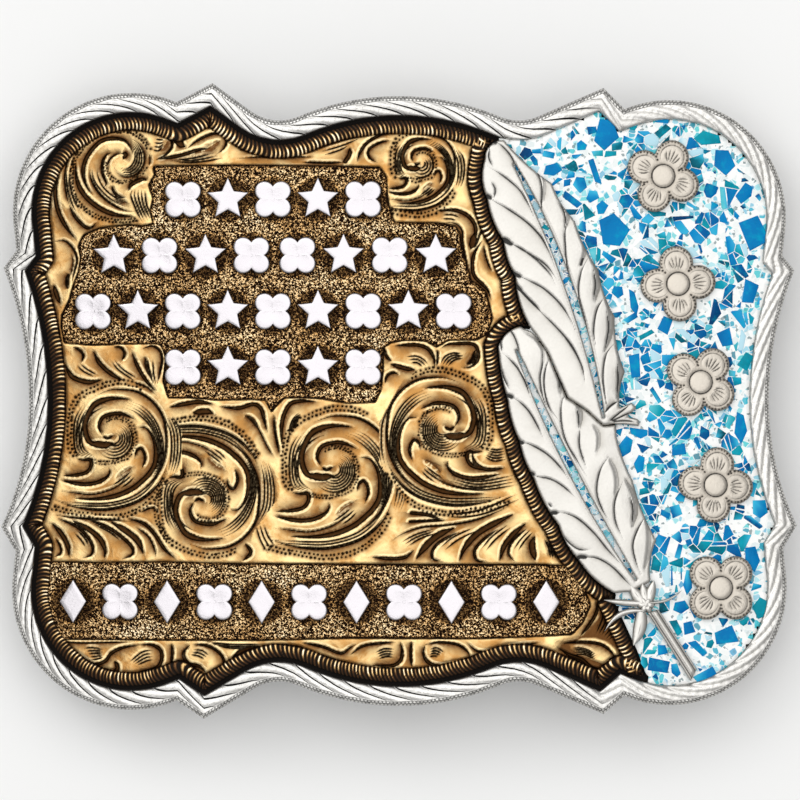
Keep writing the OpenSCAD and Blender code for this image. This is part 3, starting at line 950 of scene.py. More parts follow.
@dataclass(frozen=True)
class Stipple:
    """Punched bronze ground between the raised parts."""

    gold: Colour = (0.60, 0.34, 0.12)
    brown: Colour = (0.10, 0.046, 0.017)
    dark: Colour = (0.006, 0.003, 0.002)

    def material(self) -> bpy.types.Material:
        """Worm-like punch marks, with painted shade beside what stands on it."""
        r = Recipe("stippled_bronze")
        worm = r.noise(5000, 1.0, 0.5, 0.9)
        worm_2 = r.noise(3300, 1.0, 0.5, 0.5)
        cloud = r.noise(150, 2)
        marks = (worm * 0.75 + worm_2 * 0.35).ease(0.535, 0.66)
        # near carries painted shade beside the raised parts: it dims the punch marks and darkens the ground
        near = r.mark("near")
        light = (marks * (0.35 + 0.85 * cloud)) * (1 - near.ease(0.3, 1.0))
        bright = ((0.85, (0.92, 0.72, 0.42)), (1.0, (1.0, 0.88, 0.64)))
        base = r.ramp(light, ((0.0, self.dark), (0.22, self.brown), (0.55, self.gold), *bright))
        base = r.mix(near.ease(0.45, 0.85), base, self.dark)
        normal = r.bump(worm * 0.6 + worm_2 * 0.4, 0.00012)
        return r.surface(Base_Color=base, Metallic=1.0, Roughness=0.42, Normal=normal)


@dataclass(frozen=True)
class Stitch:
    """The bronze rim's ridges, gold on their crests and black between."""

    gold: Colour = (0.80, 0.52, 0.22)
    brown: Colour = (0.12, 0.055, 0.022)
    dark: Colour = (0.010, 0.007, 0.005)

    def material(self) -> bpy.types.Material:
        """Crest and outer share of each ridge decide its colour."""
        r = Recipe("stitched_bronze")
        crest, out, tone = r.mark("crest"), r.mark("out"), r.mark("tone")
        fine = r.noise(1500, 2, 0.5)
        light = crest.ease(0.35, 0.9) * out.ease(0.08, 0.75, 0.16, 1.0) * (0.66 + 0.78 * fine) * tone
        base = r.ramp(light, ((0.0, self.dark), (0.3, self.brown), (0.75, self.gold), (1.0, (1.0, 0.86, 0.60))))
        metal = light.ease(0.05, 0.4)
        return r.surface(Base_Color=base, Metallic=metal, Roughness=0.38, Specular_IOR_Level=DIRT_AND_SHADE_SHINE)


@dataclass(frozen=True)
class Silver:
    """Silver of several tones, with dark cuts."""

    name: str
    tone: Colour = (0.65, 0.63, 0.59)
    low: Colour = (0.25, 0.23, 0.195)
    dark: Colour = (0.012, 0.012, 0.012)
    rough: float = 0.34
    grain: float = 0.00002

    def material(self) -> bpy.types.Material:
        """Bright metal whose marked cuts are black, whose marked shade is grey and whose side walls darken towards
        their foot as painted shade.
        """
        r = Recipe(self.name)
        cut, shade, wall = r.mark("cut"), r.mark("shade"), r.mark("wall")
        fine = r.noise(3200, 2, 0.6)
        cloud = r.noise(210, 2)
        base = r.mix((shade * (0.85 + 0.3 * cloud)).least(1.0), self.tone, self.low)
        base = r.mix((cloud - 0.45).most(0) * 0.35, base, self.low)
        line = cut.ease(*CUT_LINE)
        base = r.mix(line * 0.92, base, self.dark)
        # painted shade, darker toward the foot of each side wall
        base = r.mix(wall.ease(0.1, 0.9) * 0.85, base, self.dark)
        rough = self.rough + 0.12 * fine + 0.3 * line
        return r.metal(base, 1 - line * 0.9, rough, r.bump(fine, self.grain))


@dataclass(frozen=True)
class PlainSilver:
    """Dull silver of the back, with painted shadow on the upper face where it shows between the overlays."""

    tone: Colour = (0.62, 0.61, 0.59)
    low: Colour = (0.36, 0.35, 0.33)
    dark: Colour = (0.012, 0.010, 0.009)

    def material(self) -> bpy.types.Material:
        """The upward faces above the floor carry painted shadow."""
        r = Recipe("plain_silver")
        facing = r.node("ShaderNodeSeparateXYZ", None, {0: r.node("ShaderNodeNewGeometry").outputs["Normal"]})
        height = r.node("ShaderNodeSeparateXYZ", None, {0: r.place()})
        # up: painted shadow on the plate's upper face, in the gaps between the overlays
        up = Value(r, facing.outputs[2]).ease(0.6, 0.9) * Value(r, height.outputs[2]).ease(0.0060, 0.0064)
        stretch = r.node("ShaderNodeMapping", None, {"Vector": r.place(), "Scale": (1.0, 14.0, 1.0)})
        grain = r.node("ShaderNodeTexNoise", None, {"Vector": stretch.outputs[0], "Scale": 320.0, "Detail": 3.0})
        brush, cloud = Value(r, grain.outputs["Fac"]), r.noise(110, 3)
        base = r.mix((cloud * 0.7 + brush * 0.5).ease(0.35, 0.85), self.tone, self.low)
        base = r.mix(up, base, self.dark)
        rough = 0.34 + 0.18 * brush + 0.3 * up
        return r.metal(base, 1 - 0.9 * up, rough, r.bump(brush, 0.00002))


@dataclass(frozen=True)
class RopeSilver:
    """Bright silver of the rope, with thin dark cuts and milled outer edge."""

    tone: Colour = (0.69, 0.675, 0.645)
    grey: Colour = (0.27, 0.26, 0.235)
    dark: Colour = (0.006, 0.006, 0.006)

    def material(self) -> bpy.types.Material:
        """The strand number, counted along the rope, gives the cuts and the painted shade on one side of each."""
        r = Recipe("rope_silver")
        strand, across, tone = r.mark("strand"), r.mark("across"), r.mark("tone")
        wobble = r.noise(500, 2)
        phase = (strand + (wobble - 0.5) * 0.10).fract()
        far = 0.5 - (phase - 0.5).size()
        ends = across.ease(0.22, 0.55) * (1 - across.ease(0.75, 1.05))
        hard = tone.ease(0.3, 0.7)
        line = (1 - far.ease(0.06 * ends, 0.035 + 0.08 * ends)) * ends.ease(0.0, 0.2) * hard
        # soft is painted shade on one side of each cut
        soft = (1 - phase.ease(0.0, 0.45)) * ends * (0.30 + 0.35 * (1 - hard))
        row = across / 0.125
        u = (r.mark("along") + (row > 1.0) * 0.5 + (wobble - 0.5) * 0.6).fract() - 0.5
        v = row.fract() - 0.5
        grain = (u * u + v * v) ** 0.5
        grit = grain.ease(0.26, 0.5) * (1 - across.ease(0.22, 0.27))
        cloud = r.noise(160, 2)
        base = r.mix((soft + (cloud - 0.45).most(0) * 0.8).least(1.0), self.tone, self.grey)
        speck = r.noise(5600, 1.0)
        base = r.mix(speck.ease(0.56, 0.72) * 0.55, base, self.grey)
        base = r.mix(grit * 0.75, base, (0.10, 0.10, 0.095))
        base = r.mix(line, base, self.dark)
        fine = r.noise(2600, 2)
        height = 0.35 * fine - 1.3 * line - 0.9 * grit
        return r.metal(base, 1 - line * 0.9, 0.30 + 0.15 * fine + 0.3 * line, r.bump(height, 0.00006))


@dataclass(frozen=True)
class Resin:
    """Pale glittering resin with fine chips of stone in it."""

    clear: Stops = (
        (0.0, (0.72, 0.80, 0.80)), (0.35, (0.90, 0.92, 0.90)), (0.7, (0.97, 0.96, 0.94)), (1.0, (0.80, 0.92, 0.93)),
    )
    chips: Stops = (
        (0.0, (0.02, 0.22, 0.30)), (0.25, (0.02, 0.45, 0.62)), (0.5, (0.05, 0.60, 0.62)), (0.75, (0.45, 0.80, 0.86)),
        (1.0, (0.05, 0.35, 0.60)),
    )

    def material(self) -> bpy.types.Material:
        """Cells of several sizes, a share of them coloured, under a clear glossy coat."""
        r = Recipe("crushed_stone_resin")
        place = r.place()
        warp = r.node("ShaderNodeTexNoise", None, {"Vector": place, "Scale": 900.0, "Detail": 2.0})
        shift = r.node("ShaderNodeVectorMath", {"operation": "SCALE"}, {0: warp.outputs["Color"], "Scale": 0.0006})
        moved = r.node("ShaderNodeVectorMath", {"operation": "ADD"}, {0: place, 1: shift.outputs[0]}).outputs[0]
        tint = r.cells(1300, "F1", moved).outputs["Color"]
        pick, other, patch = r.part(tint, 0), r.part(tint, 1), r.noise(240, 2)
        chosen = (pick * 0.7 + patch * 0.6).ease(0.80, 0.84)
        base = r.mix(chosen, r.ramp(pick, self.clear), r.ramp(other, self.chips))
        edge = r.cells(1300, "DISTANCE_TO_EDGE", moved).outputs["Distance"]
        crack = 1 - Value(r, edge).ease(0.02, 0.10)
        base = r.mix(crack * 0.75, base, (0.93, 0.94, 0.92))
        speck = r.part(r.cells(3300).outputs["Color"], 0)
        base = r.mix(speck.ease(0.93, 0.97) * 0.75, base, (0.03, 0.12, 0.14))
        return r.surface(Base_Color=base, Metallic=0.0, Roughness=0.22, IOR=1.5, Coat_Weight=0.6, Coat_Roughness=0.06)


@dataclass(frozen=True)
class Stone:
    """One chip of blue or green stone, its own tone for each."""

    azure: Stops = (
        (0.0, (0.0, 0.045, 0.15)), (0.35, (0.0, 0.12, 0.36)), (0.75, (0.001, 0.25, 0.58)), (1.0, (0.06, 0.50, 0.78)),
    )
    teal: Stops = (
        (0.0, (0.0, 0.05, 0.08)), (0.4, (0.0, 0.18, 0.26)), (0.75, (0.005, 0.36, 0.46)), (1.0, (0.2, 0.72, 0.78)),
    )

    def material(self) -> bpy.types.Material:
        """The chip's number picks its colour, and a slow noise clouds it."""
        r = Recipe("stone_chips")
        hue, light = r.mark("hue"), r.mark("light")
        cloud = r.noise(700, 3, 0.6)
        base = r.mix(hue.ease(0.62, 0.72), r.ramp(light, self.azure), r.ramp(light, self.teal))
        base = r.mix((cloud - 0.5).most(0) * 2.4, base, (0.0, 0.46, 0.62))
        base = r.mix((0.4 - cloud).most(0) * 1.8, base, (0.0, 0.07, 0.22))
        pale = r.mark("pale")
        base = r.mix(pale.ease(0.0, 0.55), base, (0.05, 0.52, 0.76))
        base = r.mix(pale.ease(0.4, 1.0), base, (0.78, 0.93, 0.95))
        return r.surface(Base_Color=base, Roughness=0.25, Specular_IOR_Level=0.06, Coat_Weight=0.0)


@dataclass(frozen=True)
class Sheet:
    """The pale matte floor."""

    tone: Colour = (0.93, 0.93, 0.92)

    def material(self) -> bpy.types.Material:
        """Paper with the faintest clouding."""
        r = Recipe("studio_floor")
        cloud = r.noise(6, 2)
        base = r.mix(cloud, self.tone, (0.90, 0.90, 0.89))
        return r.surface(Base_Color=base, Roughness=0.75)


class Finishes:
    """Every material of the buckle, made once."""

    def __init__(self) -> None:
        """Mixes them all."""
        self.bronze = Bronze().material()
        self.stipple = Stipple().material()
        self.stitch = Stitch().material()
        self.rope = RopeSilver().material()
        self.engraved = Silver("engraved_silver").material()
        self.polished = Silver("polished_silver", (0.57, 0.545, 0.565), (0.34, 0.33, 0.34), rough=0.24).material()
        self.plain = PlainSilver().material()
        self.milled = Silver("milled_silver", (0.56, 0.515, 0.45), (0.24, 0.205, 0.165), rough=0.3).material()
        self.resin = Resin().material()
        self.stone = Stone().material()


@dataclass
class Shop:
    """What every sub-assembly shares: the bend, the outline, the finishes and the seeded chance."""

    bend: Bend
    outline: Outline
    finishes: Finishes
    seed: int = 11

    def chance(self, offset_by: int) -> np.random.Generator:
        """A random source of its own for one sub-assembly."""
        return np.random.default_rng(self.seed * 1000 + offset_by)

    def hand_over(self, clay: Clay, name: str, finish: bpy.types.Material, slot: str, *nodes: str) -> None:
        """Builds a piece that rides on the buckle and stands for its CAD nodes.

        Args:
            clay: What it is made of.
            name: The piece's name.
            finish: Its material.
            slot: The name of a material slot; not used.
            *nodes: The nodes that it stands for.
        """
        piece = clay.build(name, self.bend, finish)
        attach(piece, "root")
        for node in nodes:
            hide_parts(node)
        LOG.info("%s: %d faces", piece.name, len(piece.data.polygons))


# Sub-assemblies


@dataclass
class RopeBorder:
    """The raised rope that frames the front."""

    shop: Shop
    pitch: float = 3.3
    rings_per_strand: int = 14
    lean: float = 2.2
    depth: float = 0.208
    valley_half: float = 0.24
    tilt: float = 0.09
    mills: int = 7
    # From the outer foot inward: share of the width, share of the height
    section: tuple[tuple[float, float], ...] = (
        (0.0, 0.30), (0.015, 0.62), (0.06, 0.80), (0.14, 0.88), (0.24, 0.93), (0.34, 0.97), (0.45, 0.99),
        (0.56, 1.0), (0.67, 0.99), (0.77, 0.97), (0.86, 0.945), (0.94, 0.90), (0.985, 0.80), (1.0, 0.45),
    )

    def _rails(self) -> np.ndarray:
        """Points of the rings across the border: ring by row of the section, evenly spaced in each stretch."""
        o = self.shop.outline
        stretches = o.stretches()
        starts = np.cumsum([0] + [len(s) - 1 for s in stretches])
        counts = [max(1, round(np.linalg.norm(np.diff(s, axis=0), axis=1).sum() / self.pitch)) for s in stretches]
        rails = []
        for share, _ in self.section:
            line = o.inset(share * BORDER_W)
            n = len(line)
            parts = []
            for k, s in enumerate(stretches):
                piece = line[[(starts[k] + i) % n for i in range(len(s))]]
                parts.append(resample(piece, count=self.rings_per_strand * counts[k] + 1)[:-1])
            rails.append(np.vstack(parts))
        return np.stack(rails, 1)

    def make(self) -> None:
        """Builds the rope as rings across the border."""
        rail = self._rails()
        rings = len(rail)
        share, crest = np.array(self.section).T
        curve = self.lean * (share - 0.05 * np.sin(2 * np.pi * share))
        strand = np.arange(rings)[:, None] / self.rings_per_strand + curve[None, :]
        valley = np.maximum(0, 1 - np.abs((strand + 0.5) % 1 - 0.5) / self.valley_half) ** 1.5
        tilt = self.tilt * ((strand % 1) - 0.5)
        lift = OVERLAY_H + BORDER_T * crest[None, :] - self.depth * valley * crest - np.abs(tilt) * 0.5
        top = np.dstack([rail, lift])
        feet = [np.dstack([rail[:, [k]], np.full((rings, 1), OVERLAY_H)]) for k in (0, -1)]
        points = np.concatenate([feet[0], top, feet[1]], 1)[:, ::-1]
        across = np.concatenate([[0], share, [1]])[::-1][None, :]
        strand = np.concatenate([strand[:, :1], strand, strand[:, -1:]], 1)[:, ::-1]
        slow = wander(self.shop.chance(1), rings, 61, 0.65, 1.15) * (1 - 0.85 * unit((points[:, 4, 0] - 22) / 8))
        clay = Clay()
        along = np.arange(rings)[:, None] * self.mills / self.rings_per_strand
        clay.grid(points, wrap=True, strand=strand, across=across, along=along, tone=unit(slow)[:, None])
        self.shop.hand_over(clay, "rope_border_silver", self.shop.finishes.rope, "engraved_silver", "rope_border")


def bow(x: float, y: float, r: float, start: float, end: float) -> np.ndarray:
    """A drawn circular path, its angles in degrees."""
    return arc((x, y), r, start, end, 15)


# The scroll as it is at the lower left, about its own middle
SCROLL = (
    Cut((-14,-6, -19,5, -14,17, -2,21.5, 11,21.5, 27,15), 0.42),
    Cut((-14,-6, -8,-9.5, -1,-6), 0.3),
    Cut((2,-17.5, -14,-18.5, -26,-17, -33.5,-10, -37,5, -33,20, -24,34, -10,40, 5,41.5, 21,40), 0.62),
    Cut((-29,-15, -14,-18, -1,-16), 0.8),
    Cut((-24,45, -4,52, 13,52.5, 29,50, 44,42, 56,30, 64,15, 67,-4, 67,-22, 63,-41, 53,-60, 38,-75, 18,-86), 0.28),
    Hatch((20,39, 38,30, 52,15, 61,-5, 63.5,-24, 61,-43, 54,-61, 40,-76), (12,31, 26,25, 39,15, 49,2, 56,-13, 58,-26,
        57,-42, 50,-58)),
    Cut((32.5,5, 42,3, 50,-8, 54,-24, 53,-41, 46,-54, 36,-64, 23,-74, 5,-82, -14,-86, -33,-87, -49,-86), 0.58),
    Cut((27,-35, 29,-26, 34.5,-22, 39,-28, 40,-37, 36,-48), 0.32),
    Cut((3,-63, 11,-54, 23,-46), 0.36, dark=0.2),
    Hatch((-2,-70, 11,-61, 22,-52), (9,-73, 19,-66, 27,-58), 3, 0.1),
    Cut((-6,-47, -5,-53, -10,-60, -22,-66, -37,-68, -54,-66, -68,-63), 0.46),
    Cut((-48,-35.5, -39,-37, -30,-37, -29,-45, -35,-53, -49,-56.5, -66,-57.5), 0.42),
    Cut((-68,-77, -49,-79, -29,-81, -10,-77, 5,-70, 18,-57), 0.2, dark=0.85),
    Cut((-77,-88, -49,-97, -20,-101, 3,-99, 27,-92, 46,-80, 60,-63, 69,-41), 0.2),
    Hatch((-68,-90, -35,-92, -5,-91.5, 23,-84, 42,-71, 56,-54), (-68,-95, -35,-98.5, -5,-98.5, 27,-90, 47,-76,
        63,-56), 3, 0.1),
    Dots((-79,-98, -58,-103, -33,-107, -10,-110, 11,-108, 29,-102, 44,-92, 56,-78, 65,-62)),
    Hatch((71,24, 83,5, 86,-18, 83,-41, 77,-57), (63.3,21, 72,1, 74,-18, 73,-37, 69,-55), 5, 0.13),
    Dots((38,54, 23,60, 7,62, -10,59, -24,54, -37,48, -47,40, -54,28, -56.5,13, -57,-6, -56,-22, -49,-33)),
    Hatch((-39,34, -49,15, -51,-10, -47,-28, -33,-35), (-30,30, -39,11, -41,-10, -37,-24, -23,-33.5), 4, 0.12),
    Dots((-30,-37, -20,-40, -6,-40.5, 7,-37.5, 19,-32, 26,-20, 27.5,-10.5, 25.5,1, 19,11, 9,16, -2,16, -10,13), 0.4,
        0.13, 0.34),
    Hatch(bow(0, -11, 24, -150, 70), bow(1, -9, 7, -120, 60), 8),
    Hatch(bow(0, -11, 47.5, 100, 205), bow(0, -11, 43, 100, 205), 2, 0.1),
)
# The scroll at the upper left, about the upper left corner of its place and downward
FIRST_SCROLL = (
    Cut((95,49, 92,42, 87,34, 80,29.5, 70,28, 60,28.5, 50,32, 40,41, 32,52, 27.5,63, 26,74, 28,86, 33,97, 40,105),
        0.5),
    Cut((16,62, 16,74, 18,86, 23,98, 32,110, 44,120, 58,128, 74,133, 96,135), 0.58),
    Cut((35,66, 36,80, 42,94, 52,107, 66,118, 82,126, 97,128), 0.26),
    Hatch((38.5,64, 40,81, 47,94, 58,106, 72,116, 87,123), (45,66, 46,78, 52,92, 61,102, 74,111, 87,117), 3),
    Cut((81,56, 85,50, 80,48), 0.5),
    Cut((83,49.5, 75,49, 68,52, 62,58, 60.5,65, 62,72), 0.18),
    Cut((66,47, 59,50, 54,57, 52,66, 53,76, 56,84, 58,90, 54,96), 0.34),
    Cut((70,65, 69.5,70, 74,76, 81,80, 90,80.5, 99,77, 106,70, 110.5,60, 110,49, 106,40, 99,32, 90,26), 0.2),
    Hatch((75,73, 82,77, 91,77, 99,73, 105,65, 107,56, 105,45, 99,36, 92,30), (79,68, 83,69, 88,69, 92,66, 95,62,
        97,57, 98,52, 97,47, 95,41), 4),
    Dots((56.5,59, 56,65, 58,72, 62,79, 67,84, 74,87, 83,87, 92,85, 100,81, 107,75, 112,68), 0.4, 0.13, 0.3),
    Dots((117,43, 113,36, 108,29, 102,24, 95,20, 86,18, 76,17.5, 66,18, 56,20, 46,24, 37,30, 28,37, 21,46, 15,55,
        11,65, 10,76, 10,88, 12,100, 16,111, 23,120, 32,127, 43,134, 55,138, 70,141, 85,141, 100,139), 0.44, 0.15,
        0.36),
    Cut((87,14.5, 75,14, 60,15.5, 46,20, 35,27), 0.14),
    Cut((117.5,49, 118.5,58, 117,67), 0.16),
    Cut((14,42, 8,52, 3,64, 0.5,80, 1.5,96, 5,112, 11,126), 0.2),
    Cut((7,120, 13,132, 22,143, 31,150, 38,149.5, 44,143), 0.42),
    Hatch((4,70, 3.5,86, 6.5,104, 12,120, 19,132), (7.5,70, 7.2,86, 10,102, 16,118, 24,131), 2),
    Cut((67,92, 67,98, 71,104, 77,108, 84,109), 0.34),
    Cut((70,107, 76,113, 86,115), 0.5, dark=0.6),
    Cut((115,86, 108,84, 98,88, 91,93, 89,100), 0.5),
    Hatch((94,97, 92,106, 96,118, 103,134, 108,142), (111,98, 112,108, 114,120, 120,132, 123,139), 5, 0.14),
)
FIRST_PLACE = Placing(-42.63, 35.99, 0.928, flip_y=-1)
SCROLL_PLACES = (
    Placing(2.8, 30.6, 0.64, zone=(-10,340, 0,360, 95,360, 95,226, -13,226, -13,270, -12,310)),
    Placing(-36.3, -3.8, 1, zone=(-460,-149, -460,20, -330,34, -296,16, -276,-30, -276,-86, -302,-110, -308,-152)),
    Placing(-24.6, -13.4, 1.02, flip_y=-1, zone=(-303,-104, -276,-86, -276,-40, -296,-16, -200,-14, -152,-60,
        -150,-120, -170,-146, -186,-168, -196,-205, -280,-205, -306,-170)),
    Placing(-8.3, -7.7, 1.1, zone=(-150,-30, -120,-2, -35,-2, -26,-30, -25,-80, 6,-122, 10,-150, -25,-190, -80,-204,
        -180,-202, -186,-168, -170,-146, -150,-120)),
    Placing(5.6, -2.6, 1.06, flip_x=-1, zone=(-25,-80, -26,-30, 5,26, 30,45, 95,45, 165,-80, 180,-134, 80,-146,
        12,-148, 6,-122)),
)
